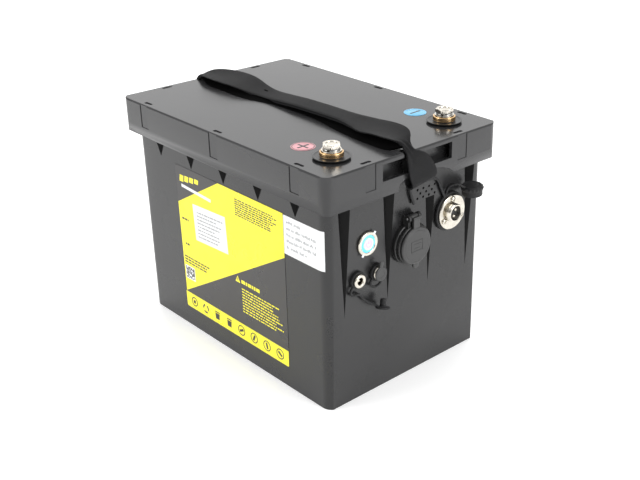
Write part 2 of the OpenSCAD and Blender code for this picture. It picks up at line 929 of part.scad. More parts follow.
// Knurled dust cap held level beside the connector on a short moulded arm, its mouth facing down
cap_from = [face_x + 11.6, 60, 149.6];
cap_tilt = 3;
cap_h = 8.4;
cap_mouth = 15.4;
cap_rim_z = 5;
cap_rim_h = 2.6;
cap_lugs = 18;
arm_route = [
    [face_x + 1.8, 39.6, 154.2, 1.4, 0.8], [face_x + 2, 40.6, 157, 1.4, 0.8],
    [face_x + 3.2, 42.2, 159.6, 1.4, 0.8], [face_x + 5.6, 44.6, 161, 1.4, 0.8],
    [face_x + 8.4, 48.2, 160, 1.4, 0.8], [face_x + 10.6, 52, 157, 1.4, 0.8]
];
module output_dust_cap() {
    color([0.06, 0.06, 0.06]) {
        translate(cap_from)
            rotate([cap_tilt, 0, 0])
                difference() {
                    union() {
                        cylinder(d = 17, h = cap_h);
                        translate([0, 0, cap_rim_z])
                            cylinder(d = 18.2, h = cap_rim_h);
                        for (k = [1:cap_lugs])
                            rotate([0, 0, 360 / cap_lugs * k])
                                translate([9, 0, cap_rim_z + 0.3])
                                    cylinder(d = 1, h = cap_rim_h - 0.6);
                    }
                    translate([0, 0, -1])
                        cylinder(d = cap_mouth, h = 7.6);
                }
        band(arm_route, [1, 0, 0]);
    }
}

// ---------------------------------------------------------------- inside

module cell(k) {
    color([0.2, 0.4, 0.7])
        translate([pack_x0 + k * cell_pitch, 0, cell_z0]) {
            translate([cell_t / 2, 0, 0])
                rounded_slab(cell_t, cell_w, cell_h, 3);
            for (side = [-1, 1])
                translate([cell_t / 2, side * cell_post_y, cell_h - eps])
                    cylinder(d = 16, h = post_h + eps);
            translate([cell_t / 2, 0, cell_h - eps])
                cylinder(d = 12, h = 0.6);
        }
}
module cell_1() {
    cell(0);
}
module cell_2() {
    cell(1);
}
module cell_3() {
    cell(2);
}
module cell_4() {
    cell(3);
}
module cell_sheets() {
    color([0.3, 0.6, 0.4])
        for (k = [1:3])
            translate([pack_x0 + k * cell_pitch - sheet_t, -cell_w / 2, cell_z0])
                cube([sheet_t, cell_w, cell_h]);
}
module end_plates() {
    color([0.75, 0.7, 0.55])
        for (x = [pack_x0 - plate_t, pack_x1])
            translate([x, -cell_w / 2, cell_z0])
                cube([plate_t, cell_w, cell_h - 6]);
}
module tie_bands() {
    band_t = 0.8;
    band_h = 14;
    outer = [pack_x1 - pack_x0 + 2 * plate_t, cell_w];
    color([0.65, 0.65, 0.65])
        for (z = [30, 96])
            translate([pack_x0 - plate_t, -cell_w / 2, z])
                difference() {
                    translate([-band_t, -band_t, 0])
                        cube([outer[0] + 2 * band_t, outer[1] + 2 * band_t, band_h]);
                    translate([0, 0, -1])
                        cube([outer[0], outer[1], band_h + 2]);
                }
}
module floor_pad() {
    color([0.2, 0.2, 0.2])
        translate([pack_x0 - plate_t, -cell_w / 2, floor_t])
            cube([pack_x1 - pack_x0 + 2 * plate_t, cell_w, pad_t]);
}
module bus_bars() {
    color([0.85, 0.5, 0.35])
        for (k = [0:2])
            translate([pack_x0 + (k + 0.5) * cell_pitch + cell_t / 2, (k % 2 == 0 ? 1 : -1) * cell_post_y,
                       cell_top + post_h])
                difference() {
                    rounded_slab(cell_pitch + 18, 20, bus_t, 4);
                    for (s = [-1, 1])
                        translate([s * cell_pitch / 2, 0, -1])
                            cylinder(d = 6.4, h = 10);
                }
}
module bus_nuts() {
    color([0.7, 0.7, 0.7])
        for (k = [0:2], s = [-1, 1])
            translate([pack_x0 + (k + 0.5 + s / 2) * cell_pitch + cell_t / 2,
                       (k % 2 == 0 ? 1 : -1) * cell_post_y, cell_top + post_h + bus_t])
                hex_prism(10, 3);
}
module cell_retainer() {
    frame_w = cell_w;
    frame_l = pack_x1 - pack_x0;
    color([0.25, 0.25, 0.25])
        translate([(pack_x0 + pack_x1) / 2, 0, 0]) {
            for (sx = [-1, 1])
                translate([sx * (frame_l / 2 - 8) - 4, -frame_w / 2, cell_top])
                    cube([8, 16, retainer_z - cell_top + eps]);
            for (sx = [-1, 1])
                translate([sx * (frame_l / 2 - 8) - 4, frame_w / 2 - 16, cell_top])
                    cube([8, 16, retainer_z - cell_top + eps]);
            difference() {
                translate([0, 0, retainer_z])
                    rounded_slab(frame_l, frame_w, 3, 4);
                for (sy = [-1, 1])
                    translate([0, sy * cell_post_y, retainer_z + 1])
                        cube([frame_l - 30, 30, 10], center = true);
            }
            for (sx = [-1, 1], sy = [-1, 1])
                translate([sx * 70, sy * 20, retainer_z + 3 - eps])
                    cylinder(d = 7, h = board_z - retainer_z - 3 + eps);
        }
}
module management_board() {
    color([0.1, 0.4, 0.2])
        translate([(pack_x0 + pack_x1) / 2, 0, board_z]) {
            difference() {
                rounded_slab(158, 96, 1.6, 3);
                translate([(pack_x1 - pack_x0 - cell_t) / 2, -cell_post_y, -1])
                    cylinder(d = lead_d + 4, h = 4);
            }
            for (k = [-3:3])
                translate([k * 16 - 5, 25, 1.6 - eps])
                    cube([10, 9, 4.5]);
            translate([-70, -44, 1.6 - eps])
                cube([24, 6, 8]);
        }
}
module heat_spreader() {
    color([0.75, 0.75, 0.78])
        translate([(pack_x0 + pack_x1) / 2, 0, board_z + 6.1]) {
            translate([-60, 20, 0])
                cube([120, 20, 3]);
            for (k = [0:4])
                translate([-60, 20.2 + 4.4 * k, 3 - eps])
                    cube([120, 1.6, 5]);
        }
}
// Two heavy leads: pack positive to the positive post, board output to the negative post
lead_d = 8;
lead_top = top_z - 22;
module lead(from, to) {
    reach = to[0] - from[0];
    bent_rod(from, lead_top, reach, lead_d, 12);
    translate([to[0], from[1], lead_top])
        lug(to[1] - from[1]);
}
// Flat lug from a lead's end across to the post above it
module lug(shift) {
    translate([-2, min(0, shift) - 7, -1.5])
        cube([14, abs(shift) + 14, 3]);
    translate([5, shift, 1.5 - eps])
        cylinder(d = 14, h = top_z - 16 - lead_top - 1.5 + eps);
}
module inner_cables() {
    color([0.7, 0.1, 0.1])
        lead([pack_x1 - cell_t / 2, -cell_post_y, cell_top + post_h], [term_x - 5, -term_y]);
    color([0.12, 0.12, 0.12])
        lead([pack_x1 - 26, 40, board_z + 1.6], [term_x - 5, term_y]);
    color([0.12, 0.12, 0.12])
        translate([pack_x0 + cell_t / 2, -cell_post_y, cell_top + post_h])
            cylinder(d = lead_d, h = board_z - cell_top - post_h);
}

// ---------------------------------------------------------------- nodes

container();
lid();
lid_gasket();
strap_front_loop();
strap_front_leg();
strap_grip();
strap_rear_leg();
strap_rear_loop();
positive_post();
negative_post();
terminal_discs();
flat_washers();
spring_washers();
terminal_bolts();
post_nuts();
positive_sticker();
negative_sticker();
side_label();
rating_sticker();
notice_sticker();
switch_bezel();
switch_light_ring();
switch_button();
switch_nut();
switch_base();
socket_body();
socket_liner();
socket_contact();
socket_nut();
socket_cover();
socket_hinge_pin();
left_jack();
right_jack();
jack_pins();
jack_nuts();
left_jack_cap();
right_jack_ring();
right_jack_cap();
output_shell();
output_insert();
output_pins();
output_screws();
output_seal();
output_nut();
output_dust_cap();
cell_1();
cell_2();
cell_3();
cell_4();
cell_sheets();
end_plates();
tie_bands();
floor_pad();
bus_bars();
bus_nuts();
cell_retainer();
management_board();
heat_spreader();
inner_cables();
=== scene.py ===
import json
import math
import random

import bmesh
import bpy
from mathutils import Matrix, Vector


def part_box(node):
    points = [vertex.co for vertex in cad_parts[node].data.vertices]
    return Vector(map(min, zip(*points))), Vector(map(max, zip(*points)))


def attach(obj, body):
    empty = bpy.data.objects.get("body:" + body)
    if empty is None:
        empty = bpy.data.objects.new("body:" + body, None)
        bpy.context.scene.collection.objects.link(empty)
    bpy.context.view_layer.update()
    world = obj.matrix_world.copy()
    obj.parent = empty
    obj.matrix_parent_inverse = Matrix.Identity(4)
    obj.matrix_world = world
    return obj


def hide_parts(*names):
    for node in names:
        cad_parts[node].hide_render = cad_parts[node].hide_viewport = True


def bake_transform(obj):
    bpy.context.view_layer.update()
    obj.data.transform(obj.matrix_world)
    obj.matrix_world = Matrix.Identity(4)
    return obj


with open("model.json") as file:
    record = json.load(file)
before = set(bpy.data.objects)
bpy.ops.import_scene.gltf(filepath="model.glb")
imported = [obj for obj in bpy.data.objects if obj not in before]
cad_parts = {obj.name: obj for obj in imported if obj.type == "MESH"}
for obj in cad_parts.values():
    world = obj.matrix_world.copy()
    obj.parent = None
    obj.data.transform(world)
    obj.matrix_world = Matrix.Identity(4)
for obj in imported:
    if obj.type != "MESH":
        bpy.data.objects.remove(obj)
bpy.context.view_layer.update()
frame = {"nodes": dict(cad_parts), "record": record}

nodes = frame["nodes"]
MM = 0.001


# ------------------------------------------------------------------ materials

class Shader:
    """A node material under construction."""

    def __init__(self, name):
        self.mat = bpy.data.materials.new(name)
        self.mat.use_nodes = True
        self.tree = self.mat.node_tree
        self.tree.nodes.clear()
        self.out = self.add("ShaderNodeOutputMaterial")
        self.bsdf = self.add("ShaderNodeBsdfPrincipled")
        self.link(self.bsdf.outputs[0], self.out.inputs["Surface"])
        self.coords = self.add("ShaderNodeTexCoord").outputs["Object"]

    def add(self, kind, **settings):
        node = self.tree.nodes.new(kind)
        for key, value in settings.items():
            setattr(node, key, value)
        return node

    def link(self, a, b):
        self.tree.links.new(a, b)

    def plug(self, name, value):
        self.bsdf.inputs[name].default_value = value

    def noise(self, scale, detail, rough=0.55, stretch=None):
        node = self.add("ShaderNodeTexNoise")
        node.inputs["Scale"].default_value = scale
        node.inputs["Detail"].default_value = detail
        node.inputs["Roughness"].default_value = rough
        source = self.coords
        if stretch:
            mapping = self.add("ShaderNodeMapping")
            mapping.inputs["Scale"].default_value = stretch
            self.link(self.coords, mapping.inputs["Vector"])
            source = mapping.outputs[0]
        self.link(source, node.inputs["Vector"])
        return node.outputs["Fac"]

    def spread(self, fac, low, high, a=0.0, b=1.0):
        """Maps a..b onto low..high."""
        node = self.add("ShaderNodeMapRange")
        for key, value in (("From Min", a), ("From Max", b), ("To Min", low), ("To Max", high)):
            node.inputs[key].default_value = value
        self.link(fac, node.inputs["Value"])
        return node.outputs[0]

    def math(self, operation, a, b=None):
        node = self.add("ShaderNodeMath", operation=operation)
        for i, value in enumerate((a, b)):
            if value is None:
                continue
            if isinstance(value, (int, float)):
                node.inputs[i].default_value = value
            else:
                self.link(value, node.inputs[i])
        return node.outputs[0]

    def mix(self, fac, a, b):
        node = self.add("ShaderNodeMix", data_type="RGBA")
        for key, value in ((0, fac), (6, a), (7, b)):
            if isinstance(value, tuple):
                node.inputs[key].default_value = (*value, 1)
            else:
                self.link(value, node.inputs[key])
        return node.outputs[2]

    def color(self, value):
        if isinstance(value, tuple):
            self.plug("Base Color", (*value, 1))
        else:
            self.link(value, self.bsdf.inputs["Base Color"])

    def rough(self, value):
        if isinstance(value, (int, float)):
            self.plug("Roughness", value)
        else:
            self.link(value, self.bsdf.inputs["Roughness"])

    def bump(self, height, strength, distance):
        node = self.add("ShaderNodeBump")
        node.inputs["Strength"].default_value = strength
        node.inputs["Distance"].default_value = distance
        self.link(height, node.inputs["Height"])
        self.link(node.outputs[0], self.bsdf.inputs["Normal"])


def plastic(name, base, light, rough, grain=900, bump=0.12, shine=0.5):
    """Moulded plastic: fine grain and a cloudy sheen; light is the paler of its two tones."""
    sweep = 0.06
    s = Shader(name)
    cloud = s.noise(14, 3)
    fine = s.noise(grain, 2, 0.6)
    s.color(s.mix(s.spread(cloud, 0.0, 1.0, 0.3, 0.75), base, light))
    s.rough(s.math("ADD", s.spread(cloud, rough - sweep, rough + sweep, 0.3, 0.7),
                   s.spread(fine, -0.03, 0.03)))
    s.bump(fine, bump, 0.00015)
    s.plug("Specular IOR Level", shine)
    return s.mat


def rubber(name, base=(0.006, 0.006, 0.0065), rough=0.55):
    """Matt rubber with a faint bloom."""
    s = Shader(name)
    fine = s.noise(1400, 3)
    cloud = s.noise(60, 3)
    s.color(s.mix(s.spread(cloud, 0.0, 1.0, 0.35, 0.7), base, tuple(c * 1.9 + 0.003 for c in base)))
    s.rough(s.spread(cloud, rough - 0.08, rough + 0.1, 0.3, 0.7))
    s.bump(fine, 0.25, 0.0001)
    s.plug("Specular IOR Level", 0.35)
    s.plug("Sheen Weight", 0.04)
    s.plug("Sheen Roughness", 0.5)
    return s.mat


def metal(name, base, rough, streaks=(1, 1, 1), grain=500, bump=0.06):
    """Plated or turned metal; streaks stretches its grain."""
    dark = 0.75
    s = Shader(name)
    s.plug("Metallic", 1.0)
    fine = s.noise(grain, 3, 0.6, streaks)
    cloud = s.noise(180, 3)
    s.color(s.mix(s.spread(cloud, 0.0, 1.0, 0.35, 0.75), base, tuple(c * dark for c in base)))
    s.rough(s.math("ADD", s.spread(cloud, rough - 0.05, rough + 0.08, 0.3, 0.7),
                   s.spread(fine, -0.04, 0.04)))
    s.bump(fine, bump, 0.00008)
    return s.mat


def film(name, base, rough=0.35, tint=0.85):
    """Printed vinyl film: slight mottling and very shallow waves."""
    s = Shader(name)
    cloud = s.noise(40, 3)
    s.color(s.mix(s.spread(cloud, 0.0, 0.35, 0.3, 0.8), base, tuple(c * tint for c in base)))
    s.rough(s.spread(cloud, rough - 0.05, rough + 0.07, 0.3, 0.7))
    s.bump(s.noise(70, 2), 0.08, 0.0004)
    return s.mat


RIB_PITCH = 0.0016
PICK_PITCH = 0.0013


def webbing(name, painted_shade_level=1.0):
    """Woven webbing in the strap's own UV, u across and v along, in metres; the last argument below 1 dims
    every tone, the sheen and the specular, painting shade on a copy that lies under the strap.
    """
    valley, crest, faded = (tuple(c * painted_shade_level for c in tone) for tone in (
        (0.003, 0.003, 0.0035), (0.019, 0.019, 0.020), (0.014, 0.0135, 0.0135)))
    s = Shader(name)
    uv = s.add("ShaderNodeUVMap").outputs[0]
    split = s.add("ShaderNodeSeparateXYZ")
    s.link(uv, split.inputs[0])
    u, v = split.outputs[0], split.outputs[1]
    ribs = s.math("SINE", s.math("MULTIPLY", u, 2 * math.pi / RIB_PITCH))
    picks = s.math("SINE", s.math("ADD", s.math("MULTIPLY", v, 2 * math.pi / PICK_PITCH),
                                  s.math("MULTIPLY", s.math("SIGN", ribs), 1.2)))
    weave = s.math("MULTIPLY", s.math("ABSOLUTE", ribs), s.spread(picks, 0.35, 1.0, -1, 1))
    fuzz = s.noise(1500, 3, 0.7)
    cloud = s.noise(35, 3)
    shade = s.math("ADD", s.math("MULTIPLY", weave, 0.75), s.math("MULTIPLY", fuzz, 0.3))
    # the weave's valleys take the darkest tone and its crests the palest: painted shade in the weave's
    # recesses, with the fuzz adding random tone
    base = s.mix(s.spread(shade, 0.0, 1.0, 0.1, 0.95), valley, crest)
    s.color(s.mix(s.spread(cloud, 0.0, 0.5, 0.35, 0.75), base, faded))
    s.rough(s.spread(fuzz, 0.62, 0.85))
    s.plug("Sheen Weight", 0.06 * painted_shade_level)
    s.plug("Sheen Roughness", 0.45)
    s.plug("Specular IOR Level", 0.15 * painted_shade_level)
    s.bump(s.math("ADD", weave, s.math("MULTIPLY", fuzz, 0.35)), 0.55, 0.00035)
    return s.mat


def glow(name, base, strength):
    """A lit translucent plastic, brighter in patches."""
    s = Shader(name)
    cloud = s.noise(220, 2)
    s.color(base)
    s.rough(0.25)
    bright = tuple(min(1, c * 1.3 + 0.08) for c in base)
    s.link(s.mix(s.spread(cloud, 0.0, 0.6, 0.3, 0.8), base, bright), s.bsdf.inputs["Emission Color"])
    s.plug("Emission Strength", strength)
    return s.mat


M = {
    "container": plastic("box_plastic", (0.012, 0.012, 0.0125), (0.018, 0.018, 0.0185), 0.27, 1500, 0.015),
    "lid": plastic("lid_plastic", (0.024, 0.024, 0.025), (0.031, 0.031, 0.032), 0.20, 1500, 0.015),
    "cover_grey": plastic("cover_plastic", (0.032, 0.032, 0.032), (0.040, 0.040, 0.040), 0.38, 1400, 0.1),
    "lilac": glow("lit_centre", (0.62, 0.55, 0.78), 0.25),
    "violet": glow("lit_symbol", (0.66, 0.34, 0.80), 0.6),
    "black": plastic("black_plastic", (0.010, 0.010, 0.010), (0.016, 0.016, 0.016), 0.36, 1400, 0.12),
    # near-black with little specular: painted shade for the recessed flute faces
    "flute": plastic("flute_painted_shade", (0.0035, 0.0035, 0.0035), (0.006, 0.006, 0.006), 0.5, 1100, 0.05,
                     shine=0.12),
    "dark_inside": plastic("shadow_plastic", (0.006, 0.006, 0.006), (0.010, 0.010, 0.010), 0.6),
    "rubber": rubber("soft_rubber"),
    "nickel": metal("nickel_plate", (0.72, 0.68, 0.60), 0.15),
    "zinc": metal("zinc_plate", (0.62, 0.62, 0.61), 0.28, (1, 1, 6)),
    "brass": metal("turned_brass", (0.70, 0.47, 0.24), 0.24, (1, 1, 8), 900, 0.1),
    "steel": metal("satin_steel", (0.63, 0.63, 0.64), 0.3),
    "webbing": webbing("woven_webbing"),
    # the webbing dimmed to 0.12: painted shade for the lower layer under the strap
    "web_painted_shade": webbing("shaded_webbing", 0.12),
    "yellow": film("yellow_film", (0.95, 0.86, 0.02), 0.3, 0.95),
    "dark_print": film("dark_print", (0.030, 0.028, 0.028), 0.3, 1.5),
    "white": film("white_film", (0.80, 0.81, 0.82), 0.4, 0.94),
    "grey_print": film("grey_print", (0.36, 0.36, 0.37), 0.4),
    "ink": film("black_ink", (0.02, 0.02, 0.02), 0.4, 1.4),
    "pink": film("pink_film", (0.80, 0.38, 0.42), 0.3),
    "blue": film("blue_film", (0.16, 0.55, 0.85), 0.3),
    "thread": rubber("sewing_thread", (0.022, 0.022, 0.023), 0.6),
    "glow": glow("lit_ring", (0.10, 0.62, 0.98), 1.0),
}


# ------------------------------------------------------------------ mesh helpers

def paint(o, key):
    o.data.materials.clear()
    o.data.materials.append(M[key])


def crisp(bm, degrees=32):
    """Smooth faces, with sharp edges past an angle."""
    limit = math.radians(degrees)
    for f in bm.faces:
        f.smooth = True
    for e in bm.edges:
        if len(e.link_faces) == 2:
            e.smooth = e.calc_face_angle(0) < limit


def to_object(name, bm, key, body="box", stands_for=(), degrees=32):
    bmesh.ops.recalc_face_normals(bm, faces=bm.faces)
    crisp(bm, degrees)
    mesh = bpy.data.meshes.new(name)
    bm.to_mesh(mesh)
    bm.free()
    o = bpy.data.objects.new(name, mesh)
    bpy.context.scene.collection.objects.link(o)
    paint(o, key)
    if body:
        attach(o, body)
    if stands_for:
        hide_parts(*stands_for)
    return o


def bevelled(o, width=0.3, segments=2, angle=35):
    """Rounds over the edges sharper than an angle; the width is in millimetres."""
    bevel = o.modifiers.new("edge", "BEVEL")
    bevel.width = width * MM
    bevel.segments = segments
    bevel.limit_method = "ANGLE"
    bevel.angle_limit = math.radians(angle)
    bevel.harden_normals = True
    return o


def softened(name, node, key, width, segments):
    """A CAD node's shape with its edges rounded over."""
    weld, flat_angle = 2e-6, 0.6
    bm = bmesh.new()
    bm.from_mesh(nodes[node].data)
    bmesh.ops.remove_doubles(bm, verts=bm.verts, dist=weld)
    bmesh.ops.dissolve_limit(bm, angle_limit=math.radians(flat_angle), verts=bm.verts, edges=bm.edges)
    return bevelled(to_object(name, bm, key, "box", (node,), 30), width, segments, 28)


# ------------------------------------------------------------------ materials on the CAD nodes, by slot

BY_SLOT = {"container_plastic": "container", "lid_plastic": "lid", "black_plastic": "black",
           "rubber": "rubber", "webbing": "webbing", "brass": "brass", "nickel": "nickel",
           "zinc": "zinc", "label_film": "yellow", "white_film": "white", "pink_film": "pink",
           "blue_film": "blue", "light_ring": "glow", "cell_wrap": "blue", "glass_fibre": "grey_print",
           "copper": "brass", "board": "black", "aluminium": "steel", "cable": "rubber"}


def keep(node, key):
    """Gives a CAD node one of the scene's materials."""
    nodes[node].data.materials.clear()
    nodes[node].data.materials.append(M[key])


for part in frame["record"]["subparts"]:
    keep(part["node"], BY_SLOT[part["material_slot"]])

softened("lid_shell", "lid", "lid", 0.9, 3)
box_shell = softened("box_shell", "container", "container", 0.5, 2)

# the flutes moulded into the walls are deep and read nearly black; their faces get a near-black, low-specular
# material, painted shade for the shadow inside them
box_shell.data.materials.append(M["flute"])
LONG_WALL = abs(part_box("side_label")[1][1])
END_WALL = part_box("output_seal")[0][0]
END_DRAFT, DRAFT_TOP = 0.0019, 0.173          # the end wall leans in by this much below this height
SET_BACK_SIDE, SET_BACK_END = 0.0003, 0.0004  # a face this far behind its wall's plane belongs to a flute
INNER_Y, INNER_X = 0.075, 0.115               # faces nearer the middle are the box's inside
FLUTES_X, FLUTES_Y = 0.112, 0.078             # half the run of the flutes along each wall
FLUTES_LOW, FLUTES_HIGH = 0.02, 0.1735
FACING_OUT = 0.2

for face in box_shell.data.polygons:
    c, n = face.center, face.normal
    wall_x = END_WALL - END_DRAFT * (1 - min(c.z / DRAFT_TOP, 1))
    in_side = (INNER_Y < abs(c.y) < LONG_WALL - SET_BACK_SIDE and abs(c.x) < FLUTES_X
               and n.y * math.copysign(1, c.y) > FACING_OUT)
    in_end = (INNER_X < abs(c.x) < wall_x - SET_BACK_END and abs(c.y) < FLUTES_Y
              and n.x * math.copysign(1, c.x) > FACING_OUT)
    if FLUTES_LOW < c.z < FLUTES_HIGH and (in_side or in_end):
        face.material_index = 1


# ------------------------------------------------------------------ building blocks, in millimetres

# the end wall's outside, the lid's top and the long wall's outside, in millimetres
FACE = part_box("output_seal")[0][0] * 1000
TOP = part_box("terminal_discs")[0][2] * 1000
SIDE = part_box("side_label")[1][1] * 1000


def at(x, y, z):
    """Places a piece drawn in millimetres."""
    return Matrix.Translation(Vector((x, y, z)) * MM) @ Matrix.Scale(MM, 4)


def on_end(y, z, x=None):
    """+Z of the piece points out of the end wall, along +X."""
    return at(FACE if x is None else x, y, z) @ Matrix.Rotation(math.radians(90), 4, "Y")


def rounded(points, radius=0.3, steps=3, closed=False):
    """A profile with its corners rounded over."""
    out = []
    count = len(points)
    for i, p in enumerate(points):
        p = Vector(p)
        if not closed and i in (0, count - 1):
            out.append(tuple(p))
            continue
        before, after = Vector(points[i - 1]), Vector(points[(i + 1) % count])
        a = p + (before - p).normalized() * min(radius, (before - p).length * 0.45)
        b = p + (after - p).normalized() * min(radius, (after - p).length * 0.45)
        for k in range(steps + 1):
            t = k / steps
            out.append(tuple(a * (1 - t) ** 2 + p * 2 * t * (1 - t) + b * t * t))
    return out


def spin(bm, profile, place, seg=72, closed=False, shape=None):
    """Turns a profile of (radius, height) round +Z. shape(angle, radius, height, index) may
    change a radius."""
    loops = []
    for i, (r, h) in enumerate(profile):
        if r < 1e-6:
            loops.append([bm.verts.new(place @ Vector((0, 0, h)))])
            continue
        ring = []
        for k in range(seg):
            angle = 2 * math.pi * k / seg
            rr = shape(angle, r, h, i) if shape else r
            ring.append(bm.verts.new(place @ Vector((rr * math.cos(angle), rr * math.sin(angle), h))))
        loops.append(ring)
    pairs = list(zip(loops, loops[1:])) + ([(loops[-1], loops[0])] if closed else [])
    for a, b in pairs:
        for k in range(seg):
            quad = [a[k % len(a)], a[(k + 1) % len(a)], b[(k + 1) % len(b)], b[k % len(b)]]
            face = list(dict.fromkeys(quad))
            if len(face) > 2:
                bm.faces.new(face)


def catmull(points, per):
    """Smooth path through stations; every number of a station is interpolated."""
    out = []
    for i in range(len(points) - 1):
        p0, p1 = points[max(i - 1, 0)], points[i]
        p2, p3 = points[i + 1], points[min(i + 2, len(points) - 1)]
        for k in range(per):
            t = k / per
            out.append([0.5 * (2 * b + (c - a) * t + (2 * a - 5 * b + 4 * c - d) * t * t
                               + (3 * b - a - 3 * c + d) * t ** 3)
                        for a, b, c, d in zip(p0, p1, p2, p3)])
    out.append(list(points[-1]))
    return out


def frames(path, side):
    """Centre, width direction and normal at each station."""
    result = []
    for i, p in enumerate(path):
        a, b = Vector(path[max(i - 1, 0)][:3]), Vector(path[min(i + 1, len(path) - 1)][:3])
        heading = (b - a).normalized()
        across = (Vector(side) - heading * heading.dot(Vector(side))).normalized()
        result.append((Vector(p[:3]), across, heading.cross(across)))
    return result


def sweep(bm, stations, side, section, per):
    """Sweeps section(station, run) -> [(across, up), ...] along a smooth path, with end caps.

    The UV is the distance across and the distance along, in metres."""
    uv = bm.loops.layers.uv.verify()
    path = catmull(stations, per)
    rings, along = [], [0.0]
    placed = frames(path, side)
    for i in range(1, len(placed)):
        along.append(along[-1] + (placed[i][0] - placed[i - 1][0]).length)
    shapes = [section(p, s) for p, s in zip(path, along)]
    for (centre, across, normal), shape in zip(placed, shapes):
        rings.append([bm.verts.new((centre + across * u + normal * v) * MM) for u, v in shape])
    count = len(shapes[0])
    for i in range(len(rings) - 1):
        for k in range(count):
            j = (k + 1) % count
            face = bm.faces.new([rings[i][k], rings[i + 1][k], rings[i + 1][j], rings[i][j]])
            marks = ((shapes[i][k][0], along[i]), (shapes[i + 1][k][0], along[i + 1]),
                     (shapes[i + 1][j][0], along[i + 1]), (shapes[i][j][0], along[i]))
            for loop, (u, v) in zip(face.loops, marks):
                loop[uv].uv = (u * MM, v * MM)
    bm.faces.new(rings[0])
    bm.faces.new(list(reversed(rings[-1])))


def oval(half_w, half_t, power):
    """A closed rounded section."""
    count = 14
    pts = []
    for k in range(count):
        a = 2 * math.pi * k / count
        c, s = math.cos(a), math.sin(a)
        pts.append((half_w * math.copysign(abs(c) ** (2 / power), c),
                    half_t * math.copysign(abs(s) ** (2 / power), s)))
    return pts


BOX_FACES = ((3, 2, 1, 0), (4, 5, 6, 7), (0, 1, 5, 4), (1, 2, 6, 5), (2, 3, 7, 6), (3, 0, 4, 7))


def block(bm, low, high, place=None):
    """A box between two corners."""
    place = place or at(0, 0, 0)
    corners = [[(low, high)[k][i] for i, k in enumerate(bits)]
               for bits in ((0, 0, 0), (1, 0, 0), (1, 1, 0), (0, 1, 0),
                            (0, 0, 1), (1, 0, 1), (1, 1, 1), (0, 1, 1))]
    v = [bm.verts.new(place @ Vector(c)) for c in corners]
    for f in BOX_FACES:
        bm.faces.new([v[i] for i in f])


def turned(name, key, profile, place, body="box", stands_for=(), seg=72, closed=False, shape=None,
           degrees=32):
    """A turned piece, or one copy at each place of a list."""
    bm = bmesh.new()
    for p in (place if isinstance(place, list) else [place]):
        spin(bm, profile, p, seg, closed, shape)
    return to_object(name, bm, key, body, stands_for, degrees)


# ------------------------------------------------------------------ terminals

TERM_X, TERM_Y = 106.0, 60.5
terminals = [at(TERM_X, s * TERM_Y, TOP) for s in (-1, 1)]


KNURL_DEPTH, KNURL_PITCH = 0.28, math.pi / 60


def knurl(angle, r, h, i):
    """Diamond knurl on the post's side; its rounded edges above and below stay plain."""
    if i < 4 or 11 < i < 16:
        return r
    return r - (KNURL_DEPTH if (round(angle / KNURL_PITCH) + i) % 2 else 0)


def hexagon(af):
    """Cuts a turned shape to a hexagon, af across its flats."""
    def shape(angle, r, h, i):
        a = angle % (math.pi / 3) - math.pi / 6
        return min(r, af / 2 / math.cos(a))
    return shape


turned("terminal_insulators", "black",
       rounded([(5.3, 0.0), (10, 0.0), (10, 0.5), (14.2, 0.9), (14.65, 2.0), (13.4, 2.0), (12.6, 1.6),
                (9.4, 1.55), (9.4, 1.9), (5.3, 1.9)], 0.25, 3, True),
       terminals, stands_for=["terminal_discs"], seg=96, closed=True)
post_profile = [(4.1, 2.0), (8.6, 2.0), (9.1, 2.15), (9.2, 2.4)] + [
    (9.25, 2.5 + 0.33 * k) for k in range(8)] + [(9.2, 5.0), (9.1, 5.3), (8.6, 5.55), (4.1, 5.6)]
for label, place in zip(("positive", "negative"), terminals):
    turned(label + "_brass_post", "brass", post_profile + [(4.1, 2.0)], place, stands_for=[label + "_post"],
           seg=120, shape=knurl, degrees=25)
turned("plain_washers", "nickel", rounded([(4.2, 5.6), (8, 5.6), (8, 6.75), (4.2, 6.75)], 0.3, 3, True),
       terminals, stands_for=["flat_washers"], closed=True)


def split_washer(bm, place):
    """One turn of a flat spring that stops short of a full circle and rises along its way."""
    steps, start, turn, rise = 60, -52, 344, 0.35
    rings = []
    for k in range(steps + 1):
        a = math.radians(start + turn * k / steps)
        lift = rise * k / steps
        rings.append([bm.verts.new(place @ Vector((r * math.cos(a), r * math.sin(a), h + lift)))
                      for r, h in rounded([(4.2, 6.8), (6.8, 6.8), (6.8, 7.8), (4.2, 7.8)], 0.2, 2, True)])
    for a, b in zip(rings, rings[1:]):
        for k in range(len(a)):
            j = (k + 1) % len(a)
            bm.faces.new([a[k], a[j], b[j], b[k]])
    bm.faces.new(rings[0])
    bm.faces.new(list(reversed(rings[-1])))


bm = bmesh.new()
for p in terminals:
    split_washer(bm, p)
to_object("split_washers", bm, "zinc", stands_for=["spring_washers"])
bolt_profile = [(0, 8.2), (6.1, 8.2), (7.0, 8.3), (7.7, 8.6), (7.7, 10.5), (7.2, 11.05), (6.35, 11.5),
                (6.0, 11.58), (4.7, 11.58), (4.35, 11.4), (4.1, 10.9), (0, 10.8)]
BOLT_FLATS = 13
BOLT_TURNS = (0.35, 0.9)
turned("hex_bolts", "nickel", bolt_profile,
       [p @ Matrix.Rotation(t, 4, "Z") for p, t in zip(terminals, BOLT_TURNS)],
       stands_for=["terminal_bolts"], seg=144, shape=hexagon(BOLT_FLATS), degrees=24)
turned("bolt_shanks", "nickel", [(0, -10), (3.95, -10), (3.95, 8.25), (0, 8.25)], terminals)

